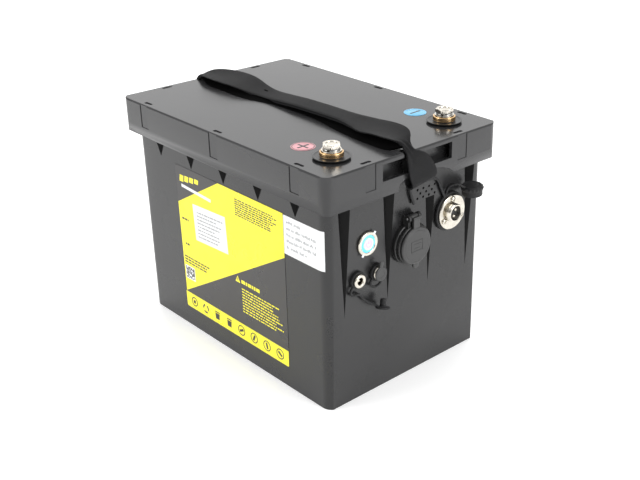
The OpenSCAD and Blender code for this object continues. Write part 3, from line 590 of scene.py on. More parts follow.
# polarity stickers
STICKER_X = 73
for label, key, node, y in (("plus", "pink", "positive_sticker", -TERM_Y),
                            ("minus", "blue", "negative_sticker", TERM_Y)):
    place = at(STICKER_X, y, TOP)
    turned(label + "_sticker", key, [(0, 0), (9.5, 0), (9.5, 0.2), (9.45, 0.25), (0, 0.25)], place,
           stands_for=[node], seg=96, degrees=60)
    turned(label + "_rim", "dark_print" if label == "plus" else "blue",
           [(8.3, 0.27), (8.9, 0.27), (8.9, 0.31), (8.3, 0.31)], place, seg=96, closed=True)
    bm = bmesh.new()
    arms = [(5.6, 0.85), (0.85, 5.6)] if label == "plus" else [(0.95, 5.8)]
    for i, (a, b) in enumerate(arms):
        block(bm, (-a, -b, 0.26 + 0.01 * i), (a, b, 0.33 + 0.01 * i),
              place @ Matrix.Rotation(math.radians(2), 4, "Z"))
    to_object(label + "_sign", bm, "ink")


# ------------------------------------------------------------------ printed films on the long wall

FILM_FRONT, FILM_BACK, PRINT_THICK = 0.25, 0.24, 0.05
# how far the print stands off: on the side film, on that print, on it again, and on the rating film
FIRST, SECOND, THIRD, ON_RATING = 0.0, 0.06, 0.12, 0.28


def printed(bm, outline, lift):
    """A thin printed shape on the -Y wall; the outline is (x, z)."""
    front = [bm.verts.new(at(0, 0, 0) @ Vector((x, SIDE - FILM_FRONT - lift - PRINT_THICK, z)))
             for x, z in outline]
    back = [bm.verts.new(at(0, 0, 0) @ Vector((x, SIDE - FILM_BACK - lift, z))) for x, z in outline]
    bm.faces.new(front)
    for k in range(len(front)):
        j = (k + 1) % len(front)
        bm.faces.new([front[j], front[k], back[k], back[j]])


def bars(bm, x0, x1, top, bottom, rows, seed, lift, fill=0.62, tilt=0.0, shortest=0.6):
    """Rows of short marks that read as small print, with no letters."""
    gap = 0.9
    rng = random.Random(seed)
    pitch = (top - bottom) / rows
    for row in range(rows):
        x, end = x0, x0 + (x1 - x0) * rng.uniform(shortest, 1.0)
        z = top - pitch * (row + 1)
        while x < end - 0.6:
            word = min(rng.uniform(1.6, 5.2), end - x)
            dz = (x - x0) * tilt
            printed(bm, [(x, z + dz), (x + word, z + dz + word * tilt),
                         (x + word, z + dz + word * tilt + pitch * fill), (x, z + dz + pitch * fill)], lift)
            x += word + gap


def printed_ring(bm, x, z, r, width, lift, start=0, sweep_deg=360):
    """A ring or an arc of outer radius r, in degrees from +X."""
    steps = 30
    for k in range(steps):
        a, b = (math.radians(start + sweep_deg * (k + e) / steps) for e in (0, 1))
        printed(bm, [(x + r * math.cos(a), z + r * math.sin(a)), (x + r * math.cos(b), z + r * math.sin(b)),
                     (x + (r - width) * math.cos(b), z + (r - width) * math.sin(b)),
                     (x + (r - width) * math.cos(a), z + (r - width) * math.sin(a))], lift)


keep("side_label", "dark_print")
keep("rating_sticker", "white")
bm = bmesh.new()
printed(bm, [(-69.9, 121.6), (-7.8, 156.4), (76.7, 156.4), (76.9, 118.9), (-68.7, 34.9)], FIRST)
printed(bm, [(-69.9, 34.2), (76.9, 34.2), (76.7, 20.2), (75.6, 19.2), (-68.5, 19.2), (-69.7, 20.4)], FIRST)
for k in range(4):
    x, low, high = -65 + 7.4 * k, 142.5 + 1.2 * k, 148.5 + 0.6 * k
    printed(bm, [(x, low), (x + 5.6, low), (x + 6.6, high), (x + 1, high)], FIRST)
bars(bm, 17, 73, 71, 47, rows=9, seed=5, lift=FIRST, fill=0.42, shortest=0.7)
bars(bm, 17, 42, 78, 74, rows=1, seed=8, lift=FIRST, fill=0.8, shortest=0.99)
printed(bm, [(8.6, 73.4), (15.4, 73.4), (12, 79.4)], FIRST)
to_object("label_yellow", bm, "yellow", degrees=60)


def icon_square(bm, x, z):
    printed_ring(bm, x, z, 4.6, 1.0, SECOND)
    half = 1.6
    printed(bm, [(x - half, z - half), (x + half, z - half), (x + half, z + half), (x - half, z + half)],
            SECOND)


def icon_arcs(bm, x, z):
    for turn in (90, 210, 330):
        printed_ring(bm, x, z, 4.4, 1.5, SECOND, turn + 15, 80)


def icon_bin(bm, x, z):
    printed(bm, [(x - 2.6, z - 3.6), (x + 2.6, z - 3.6), (x + 3.2, z + 2.2), (x - 3.2, z + 2.2)], SECOND)
    printed(bm, [(x - 3.6, z + 3), (x + 3.6, z + 3), (x + 3.2, z + 4), (x - 3.2, z + 4)], SECOND)


def icon_barred(bm, x, z, angle):
    """A ring with a bar across it."""
    half_l, half_w = 2.9, 1.1
    printed_ring(bm, x, z, 4.9, 0.9, SECOND)
    dx, dz = math.cos(math.radians(angle)), math.sin(math.radians(angle))
    printed(bm, [(x + i * half_l * dx - j * half_w * dz, z + i * half_l * dz + j * half_w * dx)
                 for i, j in ((1, 1), (-1, 1), (-1, -1), (1, -1))], SECOND)


ICON_X, ICON_PITCH, ICON_Z = -57.6, 17.6, 26.9
bm = bmesh.new()
bars(bm, 14.3, 72, 151, 135.5, rows=8, seed=11, lift=SECOND, fill=0.5, shortest=0.75)
bars(bm, -66, -52, 109.5, 106.5, rows=1, seed=3, lift=SECOND, fill=0.6)
bars(bm, -64, -55, 85.5, 82.6, rows=1, seed=4, lift=SECOND, fill=0.6)
bars(bm, -67, -28, 72.5, 64.5, rows=3, seed=6, lift=SECOND, fill=0.5, shortest=0.8)
for k, icon in enumerate((icon_square, icon_arcs, icon_bin, icon_bin)):
    icon(bm, ICON_X + ICON_PITCH * k, ICON_Z)
for k in range(4, 8):
    icon_barred(bm, ICON_X + ICON_PITCH * k, ICON_Z, 45 + 40 * k)
printed(bm, [(11.7, 75), (12.3, 75), (12.4, 77.4), (11.6, 77.4)], SECOND)
to_object("label_print", bm, "ink", degrees=60)

bm = bmesh.new()
printed(bm, [(-62.6, 137.6), (-19.7, 135.4), (-19.7, 138.2), (-62.6, 140.4)], SECOND)
printed(bm, [(-67.4, 48.5), (-53, 48.5), (-53, 61.6), (-67.4, 61.6)], SECOND)
to_object("label_white_parts", bm, "white", degrees=60)
CELL, CELL_PITCH = 1.1, 1.13
PATTERN_X, PATTERN_Z = -66.4, 49.4
bm = bmesh.new()
rng = random.Random(21)
for i in range(11):
    for j in range(10):
        if rng.random() < 0.52:
            x, z = PATTERN_X + i * CELL_PITCH, PATTERN_Z + j * CELL_PITCH
            printed(bm, [(x, z), (x + CELL, z), (x + CELL, z + CELL), (x, z + CELL)], THIRD)
to_object("label_pattern_block", bm, "ink", degrees=60)

bm = bmesh.new()
bars(bm, -42, -4, 122.5, 96.5, rows=8, seed=15, lift=ON_RATING, fill=0.34, tilt=0.053, shortest=0.65)
to_object("rating_print", bm, "grey_print", degrees=60)


def round_corner(x):
    """Point on the container's -Y side at a distance x along it, going round the corner."""
    start, radius = 118.0, 10.0
    if x <= start:
        return x, SIDE
    a = (x - start) / radius
    return start + radius * math.sin(a), SIDE + radius - radius * math.cos(a)


def wrapped(bm, x0, x1, z0, z1, lift, thick, steps=16):
    """A thin sheet on the -Y side that follows it round the corner; x runs along the side."""
    cols = []
    for k in range(steps + 1):
        x, y = round_corner(x0 + (x1 - x0) * k / steps)
        x2, y2 = round_corner(x0 + (x1 - x0) * k / steps + 0.01)
        n = Vector((y2 - y, x - x2)).normalized()
        cols.append([bm.verts.new(at(0, 0, 0) @ Vector((x + n.x * d, y + n.y * d, z)))
                     for d, z in ((lift, z0), (lift + thick, z0), (lift + thick, z1), (lift, z1))])
    for a, b in zip(cols, cols[1:]):
        for k in range(4):
            j = (k + 1) % 4
            bm.faces.new([a[k], b[k], b[j], a[j]])
    bm.faces.new(cols[0])
    bm.faces.new(list(reversed(cols[-1])))


bm = bmesh.new()
wrapped(bm, 77.2, 123.6, 123.0, 155.8, 0.02, 0.22)
to_object("notice_film", bm, "white", stands_for=["notice_sticker"], degrees=40)
NOTICE_X, NOTICE_TOP, NOTICE_PITCH = 80.6, 149.6, 5.3
bm = bmesh.new()
rng = random.Random(9)
for row, end in enumerate((98, 118, 116, 117.5, 106)):
    x, z = NOTICE_X, NOTICE_TOP - NOTICE_PITCH * row
    while x < end - 1:
        word = min(rng.choice((2, 3, 4, 5, 6)) * 1.55, end - x)
        glyph = x
        while glyph < x + word - 0.6:
            wide = rng.uniform(0.7, 1.15)
            low = rng.choice((0.0, 0.0, 0.5))
            wrapped(bm, glyph, glyph + wide, z + low, z + rng.choice((1.5, 1.7, 2.3)), 0.25, 0.04, 2)
            glyph += wide + 0.42
        x += word + 1.5
to_object("notice_print", bm, "grey_print", degrees=60)


# ------------------------------------------------------------------ push switch

SW_Y, SW_Z = -45.8, 135.8
turned("switch_bezel_ring", "nickel",
       rounded([(6.75, -8), (6.75, 1.2), (7.3, 1.95), (9.4, 1.95), (10, 1.3), (10, 0.0), (7.9, 0.0),
                (7.9, -8)],
               0.4, 4),
       on_end(SW_Y, SW_Z), stands_for=["switch_bezel"], seg=96)
turned("switch_lit_ring", "glow",
       rounded([(5.15, -5), (5.15, 1.5), (6.7, 1.5), (6.7, -5)], 0.25, 3), on_end(SW_Y, SW_Z),
       stands_for=["switch_light_ring"], seg=96)
turned("switch_cap", "lilac",
       rounded([(0, -8), (5.0, -8), (5.0, 1.9), (4.6, 2.2), (3.6, 2.05), (0, 1.85)], 0.2, 3),
       on_end(SW_Y, SW_Z),
       "push_button", ["switch_button"], seg=96)
SYMBOL_START, SYMBOL_SWEEP, SYMBOL_STEPS = 222, 276, 26
bm = bmesh.new()
place = on_end(SW_Y, SW_Z)
for k in range(SYMBOL_STEPS):
    a, b = (math.radians(SYMBOL_START + SYMBOL_SWEEP * (k + e) / SYMBOL_STEPS) for e in (0, 1))
    v = [bm.verts.new(place @ Vector((r * math.cos(t), r * math.sin(t), h)))
         for h in (1.8, 2.12) for r, t in ((2.2, a), (2.2, b), (2.9, b), (2.9, a))]
    for f in BOX_FACES:
        bm.faces.new([v[i] for i in f])
block(bm, (-3.5, -0.35, 1.8), (-0.3, 0.35, 2.12), place)
to_object("switch_symbol", bm, "violet", "push_button")
bm = bmesh.new()
for cx, cy in ((0.8, -0.6), (-0.78, 0.62)):
    turn = Matrix.Rotation(math.atan2(cy, cx), 4, "Z")
    block(bm, (8.6, -1.1, 1.9), (11.2, 1.1, 2.0), place @ turn)
bevelled(to_object("switch_film_tabs", bm, "white"), 0.04, 1)


# ------------------------------------------------------------------ accessory socket

SO_Y, SO_Z = -1.6, 122.8
HINGE = (FACE + 5.4, SO_Y, SO_Z + 23.2)
EAR_Y = 5.2
GRIP_RIBS = 36
turned("socket_flange", "black",
       rounded([(11.2, -6), (11.2, 6.6), (11.8, 7.3), (16.2, 7.4), (16.9, 6.6), (17, 3.6), (17.9, 3.2),
                (18, 0.6),
                (17.6, 0.0), (14.3, 0.0), (14.2, -6)], 0.35, 3),
       on_end(SO_Y, SO_Z), stands_for=["socket_body"], seg=96)
bm = bmesh.new()
for k in range(6, 31):    # none under the hinge
    block(bm, (16.7, -0.5, 3.5), (17.35, 0.5, 6.4),
          on_end(SO_Y, SO_Z) @ Matrix.Rotation(2 * math.pi * k / GRIP_RIBS, 4, "Z"))
bevelled(to_object("socket_flange_grip", bm, "black"), 0.15, 1)
bm = bmesh.new()
for side in (-1, 1):
    spin(bm, rounded([(0, -1.4), (3.1, -1.4), (3.1, 1.4), (0, 1.4)], 0.4, 3),
         at(HINGE[0], SO_Y + side * EAR_Y, HINGE[2]) @ Matrix.Rotation(math.pi / 2, 4, "X"), 40)
    block(bm, (FACE, SO_Y + side * EAR_Y - 1.35, SO_Z + 14),
          (FACE + 6.9, SO_Y + side * EAR_Y + 1.35, SO_Z + 23.6))
bevelled(to_object("socket_hinge_ears", bm, "black"), 0.35, 2)
turned("socket_cover_plate", "cover_grey",
       rounded([(0, 5.7), (9.9, 5.7), (10.1, 7.9), (15.6, 7.9), (16, 8.3), (16, 9.3), (15.2, 10.2),
                (13.6, 10.4),
                (13.2, 10.15), (12.9, 10.4), (0, 10.4)], 0.3, 3),
       on_end(SO_Y, SO_Z), "cover", ["socket_cover"], seg=96)
bm = bmesh.new()
spin(bm, rounded([(0, -3.4), (2.75, -3.4), (2.75, 3.4), (0, 3.4)], 0.35, 3),
     at(*HINGE) @ Matrix.Rotation(math.pi / 2, 4, "X"), 40)
block(bm, (FACE + 7.8, SO_Y - 3.4, SO_Z + 13), (FACE + 9.9, SO_Y + 3.4, SO_Z + 23.3))
block(bm, (FACE + 5.6, SO_Y - 3.4, SO_Z + 22.1), (FACE + 9.7, SO_Y + 3.4, SO_Z + 24.3))
spin(bm, rounded([(0, 7.9), (3.4, 7.9), (3.4, 9.8), (0, 9.8)], 0.5, 3), on_end(SO_Y, SO_Z - 16.4), 40)
bevelled(to_object("socket_cover_arm", bm, "cover_grey", "cover"), 0.4, 2)
bm = bmesh.new()
for y0, x0, y1, x1 in ((-6.5, -4.6, 6.5, -4.0), (-6.5, 4.0, 6.5, 4.6), (-6.5, -4.6, -5.9, 4.6),
                       (5.9, -4.6, 6.5, 4.6), (-3.6, -1.9, 3.6, -1.5), (-3.6, 1.5, 3.6, 1.9)):
    block(bm, (x0, y0, 10.3), (x1, y1, 10.62), on_end(SO_Y, SO_Z))
bevelled(to_object("socket_cover_relief", bm, "cover_grey", "cover"), 0.1, 1)
turned("socket_pin", "steel", rounded([(0, -6.9), (1, -6.9), (1, 6.9), (0, 6.9)], 0.25, 2),
       at(*HINGE) @ Matrix.Rotation(math.pi / 2, 4, "X"), stands_for=["socket_hinge_pin"], seg=32)


# ------------------------------------------------------------------ charging jacks and their caps

LJ, RJ = (-56.4, 108.3), (-36.1, 108.3)
jack_profile = rounded([(2.8, -6), (2.8, 3.7), (3.3, 4.3), (5.1, 4.3), (5.7, 3.7), (5.7, 2.2), (4, 2.2),
                        (4, -6)], 0.3, 3)
turned("left_jack_shell", "nickel", jack_profile, on_end(*LJ), stands_for=["left_jack"])
turned("right_jack_shell", "nickel", jack_profile, on_end(*RJ), stands_for=["right_jack"])
turned("jack_wells", "dark_inside", [(0, -5.9), (2.75, -5.9), (2.75, -3), (0, -3)],
       [on_end(*LJ), on_end(*RJ)])
turned("jack_centre_pins", "nickel", rounded([(0, -6), (1.05, -6), (1.05, 2.1), (0, 2.5)], 0.3, 3),
       [on_end(*LJ), on_end(*RJ)], stands_for=["jack_pins"], seg=32)
neck = rounded([(4.1, 0.2), (7.1, 0.2), (7.3, 1.0), (7.0, 2.0), (4.1, 2.0)], 0.4, 3, True)


def strand(half_w, half_t, power=2.6):
    """The unchanging section of a moulded strip."""
    return lambda p, s: oval(half_w, half_t, power)


bm = bmesh.new()
spin(bm, neck, on_end(*LJ), 64, True)
sweep(bm, [(FACE + 1.4, -61.6, 104.4), (FACE + 1.5, -64.4, 101.4), (FACE + 1.5, -63.6, 98),
           (FACE + 1.5, -60, 96.6), (FACE + 1.5, -56.6, 96.6), (FACE + 1.5, -54.2, 94.4),
           (FACE + 1.6, -51.4, 90.4), (FACE + 2, -47.4, 86.8),
           (FACE + 3, -43, 83.6), (FACE + 4.4, -39.4, 81)], (1, 0, 0), strand(1.0, 1.05), 5)
tilt = (at(FACE + 7, -35.8, 79) @ Matrix.Rotation(math.radians(-12), 4, "Y")
        @ Matrix.Rotation(math.radians(-18), 4, "X"))
spin(bm, rounded([(0, -1.0), (5.4, -1.0), (6, -0.4), (6, 0.6), (5.6, 1.0), (3, 1.0), (2.5, 1.6),
                  (2.7, 2.4), (2.5, 3.2), (2.7, 5.8), (2.3, 7.4), (1.2, 7.5), (1.2, 4.0), (0, 4.0)],
                 0.3, 3), tilt, 48)
to_object("left_cap_rubber", bm, "rubber", "left_cap", ["left_jack_cap"], 40)
turned("right_neck_ring", "rubber", neck, on_end(*RJ), stands_for=["right_jack_ring"], closed=True)
bm = bmesh.new()
sweep(bm, [(FACE + 1.4, -42, 104.6), (FACE + 1.6, -44, 101.8), (FACE + 1.8, -43, 98.9),
           (FACE + 2.4, -40.2, 97.6), (FACE + 3.6, -37.6, 98.8), (FACE + 4.8, -36.4, 101),
           (FACE + 5.2, -36.2, 103.4)], (1, 0, 0),
      strand(0.95, 0.95), 6)
tether = to_object("right_cap_tether", bm, "rubber", None, (), 40)
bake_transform(tether)
bm = bmesh.new()
spin(bm, rounded([(0, -1.7), (2.5, -1.7), (2.6, 4.4), (5.4, 4.4), (6, 4.9), (6, 5.7), (5.4, 6.2), (3.2, 6.2),
                  (2.8, 5.95), (0, 5.95)], 0.3, 3), on_end(*RJ), 56)
sweep(bm, [(FACE + 5.3, -36.1, 112.6), (FACE + 5.3, -35.8, 115), (FACE + 5.1, -35.2, 117.4),
           (FACE + 4.9, -34.9, 118.4)], (1, 0, 0), strand(0.85, 1.9), 4)
to_object("right_cap_rubber", bm, "cover_grey", "right_cap", ["right_jack_cap"], 40)


# ------------------------------------------------------------------ output connector

OC = (45, 136)
shell = [(5.9, -3), (5.9, 8.0), (6.3, 8.6), (7.3, 8.6)]
THREADS, THREAD_TOP, THREAD_PITCH = 4, 8.2, 0.8
for k in range(THREADS):
    z = THREAD_TOP - THREAD_PITCH * k
    shell += [(7.85, z), (7.45, z - THREAD_PITCH / 2)]
shell += [(7.3, 4.9), (7.3, 4.6), (14.3, 4.6), (14.9, 4.1), (15, 2.8), (14.8, 2.6), (8, 2.6), (7.9, -3)]
turned("connector_shell", "nickel", shell, on_end(*OC), stands_for=["output_shell"], seg=96, degrees=28)
turned("connector_insert", "black", rounded([(0, -3), (5.85, -3), (5.85, 5.1), (0, 5.1)], 0.3, 3),
       on_end(*OC),
       stands_for=["output_insert"])
turned("connector_pins", "nickel", rounded([(0, 0), (1.3, 0), (1.3, 6.6), (0.8, 7.3), (0, 7.4)], 0.25, 3),
       [on_end(OC[0] + s, OC[1] + 2.6 * s) for s in (-1, 1)], stands_for=["output_pins"], seg=32)
bm = bmesh.new()
for k, turn in enumerate((90, 210, 330)):
    place = on_end(*OC) @ Matrix.Rotation(math.radians(turn + 90), 4, "Z") @ Matrix.Translation((11.3, 0, 0))
    place = place @ Matrix.Rotation(0.5 + k, 4, "Z")
    spin(bm, rounded([(2.5, 4.5), (2.5, 5.5), (1.9, 6.0), (1.5, 6.05), (1.45, 5.3), (0, 5.3)], 0.2, 3),
         place, 32)
    for quarter in range(4):
        block(bm, (0.35, 0.35, 5.2), (1.2, 1.2, 6.0), place @ Matrix.Rotation(math.pi / 2 * quarter, 4, "Z"))
to_object("connector_screws", bm, "nickel", stands_for=["output_screws"])
bm = bmesh.new()
spin(bm,
     rounded([(8.1, 0.0), (16.4, 0.0), (16.75, 0.6), (16.7, 2.1), (16.2, 2.55), (8.1, 2.55)], 0.35, 3,
             True),
     on_end(*OC), 96, True)
lanyard = [(38.6, 149.9), (36.6, 153.6), (34.4, 158), (32, 163), (29.4, 167.6), (25, 170.3), (17, 171.2),
           (8, 171.3), (1.6, 170.6), (-1.4, 168), (-0.8, 164), (0.8, 159.4), (2.9, 154.6)]
sweep(bm, [(FACE + 1.6, y, z) for y, z in lanyard], (1, 0, 0), strand(0.7, 1.2, 4), 5)
to_object("connector_seal_and_lanyard", bm, "rubber", "box", ["output_seal"], 40)


def lugged(angle, r, h, i):
    """Knurl lugs round the rim, and fine flutes on the skirt."""
    if r > 8.75:
        return r - 0.15 + 0.45 * (0.5 + 0.5 * math.cos(18 * angle)) ** 2
    return r - (0.16 if 8.4 < r and h < 5 and math.cos(36 * angle) > 0.3 else 0)


cap_place = at(FACE + 11.6, 60, 149.6) @ Matrix.Rotation(math.radians(3), 4, "X")
turned("dust_cap_rubber", "rubber",
       rounded([(0, 6.6), (7.7, 6.6), (7.7, 0.2), (7.9, 0), (8.3, 0), (8.5, 0.4), (8.5, 4.6), (9.0, 5.1),
                (9.1, 5.7),
                (9.1, 7.0), (8.9, 7.5), (8.4, 7.75), (8.2, 8.2), (7.6, 8.4), (6.4, 8.4), (6.2, 8.1),
                (5.8, 8.1),
                (5.6, 8.35), (0, 8.3)], 0.25, 2),
       cap_place, "dust_cap", ["output_dust_cap"], seg=144, degrees=45, shape=lugged)
bm = bmesh.new()
sweep(bm, [(FACE + 1.6, 38.9, 152.4), (FACE + 1.8, 39.7, 155), (FACE + 2.2, 40.8, 157.6),
           (FACE + 3.4, 42.4, 159.7), (FACE + 5.6, 44.8, 160.9), (FACE + 8.2, 48, 160.2),
           (FACE + 10.4, 51.6, 157.2)], (1, 0, 0),
      strand(1.35, 0.8), 6)
arm = to_object("dust_cap_arm", bm, "rubber", None, (), 40)
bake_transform(arm)


# ------------------------------------------------------------------ webbing handle

HALF_T = 0.8
FOLD_T = 1.05     # what the fold adds to half the thickness
SLIT = 0.12
CRUMPLE = 0.42    # where the webbing is squeezed through the notch, this near to its middle
NECK_X, NECK_RUN, ABOVE_WINDOW = 134, 9, 196
WEB_STEPS = 14


def web_section(p, s):
    """Flat webbing, or where the fold number is 1 the folded grip, with a slit along its edges."""
    half_w, fold, cup = p[3], p[4], p[5]
    thick = HALF_T + fold * FOLD_T
    crumple = CRUMPLE * max(0, 1 - abs(abs(p[0]) - NECK_X) / NECK_RUN) if p[2] > ABOVE_WINDOW else 0
    ripple = 0.12 * math.sin(s * 0.55 + 1.3) + 0.08 * math.sin(s * 1.7)

    def skin(u, sign):
        edge = 1 - 0.35 * abs(u) ** 10
        return (u * (half_w + 0.15 * ripple), sign * thick * edge + cup * (1 - u * u) + ripple * 0.25 * u
                + crumple * math.sin(7 * u + s * 0.4))

    notch = half_w - 0.1 - 0.9 * fold
    across = [1 - 2 * k / WEB_STEPS for k in range(WEB_STEPS + 1)]
    return ([skin(u, 1) for u in across]
            + [(-notch, SLIT + ripple * 0.25), (-notch, -SLIT + ripple * 0.25)]
            + [skin(-u, -1) for u in across]
            + [(notch, -SLIT), (notch, SLIT)])


# x, y, z, half width, fold, cup
loop_way = [(131.0, -2.2, 197.5, 9.5, 0, 0), (131.0, -0.4, 192, 11.2, 0, 0),
            (131.0, 2.2, 185, 12.6, 0, 0), (131.1, 4.2, 179, 13.2, 0, 0), (131.9, 4.9, 175.6, 13.3, 0, 0),
            (133.8, 5.0, 174.2, 13.4, 0, 0), (136.4, 5.0, 174.1, 13.4, 0, 0),
            (138.4, 4.9, 175.6, 13.4, 0, 0), (139.3, 4.1, 179, 13.2, 0, 0.2),
            (139.5, 1.4, 184.4, 12.9, 0, 0.3), (139.4, -1.8, 190, 12.0, 0, 0.4),
            (138.9, -5, 195, 9.8, 0.1, 0.5), (138.0, -7.6, 199.2, 6.8, 0.3, 0.8),
            (136.2, -8.8, 202.8, 4.4, 0.6, 0.6), (133.4, -9.0, 205.8, 4.0, 0.6, 0.5)]
front_way = loop_way + [
    (130.2, -8.8, 208.6, 4.8, 0.5, 0.8), (125.6, -7.9, 210.9, 8.2, 0.1, 1.4),
    (119, -6.4, 211.9, 10.8, 0, 1.8), (110, -5.0, 211.9, 11.9, 0, 1.8), (99, -4.4, 211.2, 12.2, 0, 1.3),
    (88, -4.6, 210.2, 12.2, 0.15, 0.6), (78, -4, 209.9, 10.6, 0.5, 0.6),
    (68, -3.4, 209.6, 9.0, 0.85, 0.3), (58, -3, 209.4, 8.1, 1, 0.1), (44, -2.5, 209.1, 8.0, 1, 0),
    (28, -2.2, 208.8, 8.0, 1, 0), (14, -2.1, 208.4, 8.0, 1, 0)]
rear_way = [(14, -2.1, 208.4, 8.0, 1, 0), (0, -2, 208, 8.0, 1, 0), (-20, -2, 206.8, 8.0, 1, 0),
            (-36, -2.2, 206, 8.1, 1, 0.1), (-47, -2.5, 206.4, 8.6, 0.85, 0.3),
            (-57, -3, 207.8, 9.8, 0.5, 0.5), (-67, -3.5, 209.6, 11.4, 0.15, 0.6),
            (-78, -4.1, 210.9, 12.6, 0, 0.6), (-91, -4.8, 211.2, 13, 0, 0.8),
            (-104, -5.6, 211, 12.4, 0, 1.0), (-115, -6.7, 210.6, 10.8, 0, 1.2),
            (-123.4, -7.9, 209.9, 8.6, 0.1, 1.2), (-129, -8.7, 208.6, 6.2, 0.35, 0.9),
            (-133.2, -9, 206, 5.0, 0.5, 0.5), (-136.2, -8.8, 202.8, 5.0, 0.6, 0.6)] + [
    (-a, b, c, d, e, f) for a, b, c, d, e, f in reversed(loop_way[:-2])]
SIDEWAYS, UNDER_SIDEWAYS = (0, 1, 0.16), (0, 1, 0.3)
# the webbing's own lower layer, which hangs open under both wide ends, drawn in the dimmed webbing as painted
# shade
front_under = [(14, -3.4, 205.6, 7.8, 0, 0), (30, -4, 205.6, 8.2, 0, 0), (44, -5.4, 205.5, 8.8, 0, 0),
               (58, -7.4, 205.4, 9.8, 0, 0), (74, -9.2, 205.3, 11.6, 0, 0.2),
               (92, -10.6, 205.3, 12.6, 0, 0.4), (108, -11, 205.4, 12.2, 0, 0.5),
               (119, -11, 205.6, 10.6, 0, 0.5), (126, -10, 206.3, 7, 0.1, 0.3),
               (131, -9.2, 206.8, 4, 0.2, 0)]
rear_under = [(14, -3.4, 205.2, 7.6, 0, 0), (-8, -3.6, 204.8, 7.8, 0, 0), (-26, -5, 204.6, 8, 0, 0),
              (-38, -7.8, 204.6, 9, 0, 0), (-51, -11, 204.7, 11.6, 0, 0.2),
              (-68, -12, 204.8, 12.6, 0, 0.2), (-84, -11, 205, 12.2, 0, 0.3),
              (-100, -10, 205.3, 11, 0, 0.3), (-114, -9.4, 205.8, 9, 0, 0.3),
              (-124, -9.3, 206.5, 6, 0.1, 0.2), (-131, -9.1, 206.8, 4, 0.2, 0)]


def strap_piece(name, way, under, cad):
    """Half the strap, and the webbing's lower layer under it, which is drawn in the dimmed webbing as painted
    shade.
    """
    bm = bmesh.new()
    sweep(bm, way, SIDEWAYS, web_section, 7)
    o = to_object(name, bm, "webbing", None, cad, 50)
    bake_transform(o)
    bm = bmesh.new()
    sweep(bm, under, UNDER_SIDEWAYS, web_section, 6)
    fold = to_object(name + "_fold", bm, "web_painted_shade", None, (), 50)
    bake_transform(fold)


strap_piece("strap_front", front_way, front_under, ["strap_front_loop", "strap_front_leg", "strap_grip"])
strap_piece("strap_rear", rear_way, rear_under, ["strap_rear_loop", "strap_rear_leg"])

# the grip from its rear end to its front end
grip_way = rear_way[3:0:-1] + front_way[:-5:-1]


def stitches(name, way, offsets, step, length, body):
    """Rows of thread on the outside of the folded grip."""
    proud = 0.05
    bm = bmesh.new()
    path = catmull(way, 10)
    placed = frames(path, SIDEWAYS)
    run = [0.0]
    for i in range(1, len(placed)):
        run.append(run[-1] + (placed[i][0] - placed[i - 1][0]).length)
    s = 1.0
    while s < run[-1] - length:
        i = max(k for k in range(len(run)) if run[k] <= s)
        i = min(i, len(placed) - 2)
        t = (s - run[i]) / max(run[i + 1] - run[i], 1e-6)
        c, w, n = placed[i]
        c = c.lerp(placed[i + 1][0], t)
        head = w.cross(n).normalized()
        for offset in offsets:
            centre = c + w * offset - n * (HALF_T + FOLD_T + proud)
            turn = Matrix(((head.x, w.x, n.x, 0), (head.y, w.y, n.y, 0), (head.z, w.z, n.z, 0), (0, 0, 0, 1)))
            m = Matrix.Translation(centre * MM) @ turn @ Matrix.Scale(MM, 4)
            spin(bm,
                 [(0, -length / 2), (0.2, -length * 0.42), (0.26, 0), (0.2, length * 0.42),
                  (0, length / 2)],
                 m @ Matrix.Rotation(math.pi / 2, 4, "Y"), 8)
        s += step
    to_object(name, bm, "thread", body, (), 60)


stitches("grip_stitches", grip_way, (-6.4, 6.4), 3.4, 2.4, "handle")


# ------------------------------------------------------------------ floor, lights, camera

def stage_plane(name, size, z, color, rough):
    bm = bmesh.new()
    bmesh.ops.create_grid(bm, x_segments=1, y_segments=1, size=size)
    mesh = bpy.data.meshes.new(name)
    bm.to_mesh(mesh)
    bm.free()
    o = bpy.data.objects.new(name, mesh)
    o.location.z = z
    bpy.context.scene.collection.objects.link(o)
    s = Shader(name + "_paint")
    s.color(color)
    s.rough(rough)
    s.plug("Emission Color", (1, 1, 1, 1))
    s.plug("Emission Strength", 0.3)
    mesh.materials.append(s.mat)


stage_plane("floor", 40.0, -0.0002, (0.93, 0.93, 0.93), 0.55)


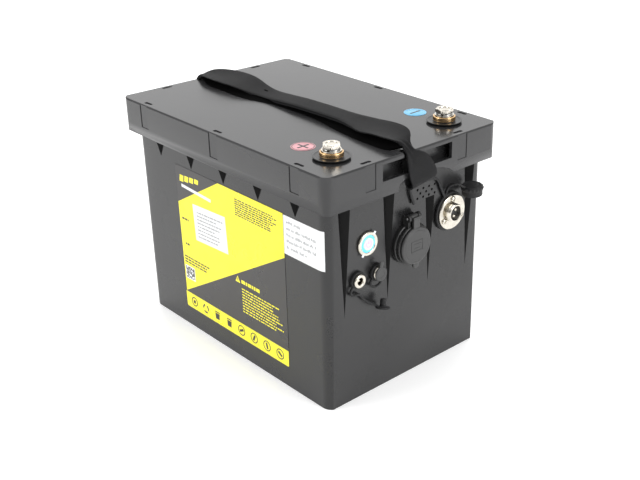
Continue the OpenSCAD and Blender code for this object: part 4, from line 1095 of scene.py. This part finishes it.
def area_light(name, place, look, size, power):
    data = bpy.data.lights.new(name, "AREA")
    data.shape = "RECTANGLE"
    data.size, data.size_y = size
    data.energy = power
    o = bpy.data.objects.new(name, data)
    o.location = place
    o.rotation_euler = (Vector(look) - Vector(place)).to_track_quat("-Z", "Y").to_euler()
    bpy.context.scene.collection.objects.link(o)


area_light("overhead", (-0.85, 0.9, 1.15), (0, 0, 0.15), (2.5, 2.5), 20)
area_light("left_soft", (-0.7, -1.5, 0.9), (0, 0, 0.1), (0.9, 0.9), 15)
area_light("right_soft", (1.6, 0.3, 0.8), (0, 0, 0.1), (0.9, 0.9), 17)

# a studio that reflects in bands of grey, and is white to the camera
world = bpy.data.worlds.new("studio")
world.use_nodes = True
tree = world.node_tree
sky = tree.nodes["Background"]
sky.inputs["Strength"].default_value = 1.0
where = tree.nodes.new("ShaderNodeTexCoord")
split = tree.nodes.new("ShaderNodeSeparateXYZ")
tree.links.new(where.outputs["Generated"], split.inputs[0])
height = tree.nodes.new("ShaderNodeValToRGB")
tones = ((0.0, 0.9), (0.08, 0.35), (0.30, 0.22), (0.52, 0.9), (0.75, 0.85), (1.0, 0.5))
while len(height.color_ramp.elements) < len(tones):
    height.color_ramp.elements.new(0.5)
for element, (place, tone) in zip(height.color_ramp.elements, tones):
    element.position = place
    element.color = (tone, tone, tone, 1)
tree.links.new(split.outputs[2], height.inputs["Fac"])
rays = tree.nodes.new("ShaderNodeLightPath")
choose = tree.nodes.new("ShaderNodeMix")
choose.data_type = "RGBA"
tree.links.new(rays.outputs["Is Camera Ray"], choose.inputs[0])
tree.links.new(height.outputs["Color"], choose.inputs[6])
choose.inputs[7].default_value = (1, 1, 1, 1)
tree.links.new(choose.outputs[2], sky.inputs["Color"])
bpy.context.scene.world = world
bpy.context.scene.view_settings.view_transform = "Standard"

camera_data = bpy.data.cameras.new("camera")
camera_data.lens = 56.74
camera_data.sensor_width = 36
camera_data.shift_x = -0.0909
camera = bpy.data.objects.new("camera", camera_data)
camera.location = (0.6360, -0.5169, 0.4639)
camera.rotation_euler = (math.radians(64.85), 0, math.radians(46.46))
bpy.context.scene.collection.objects.link(camera)
bpy.context.scene.camera = camera
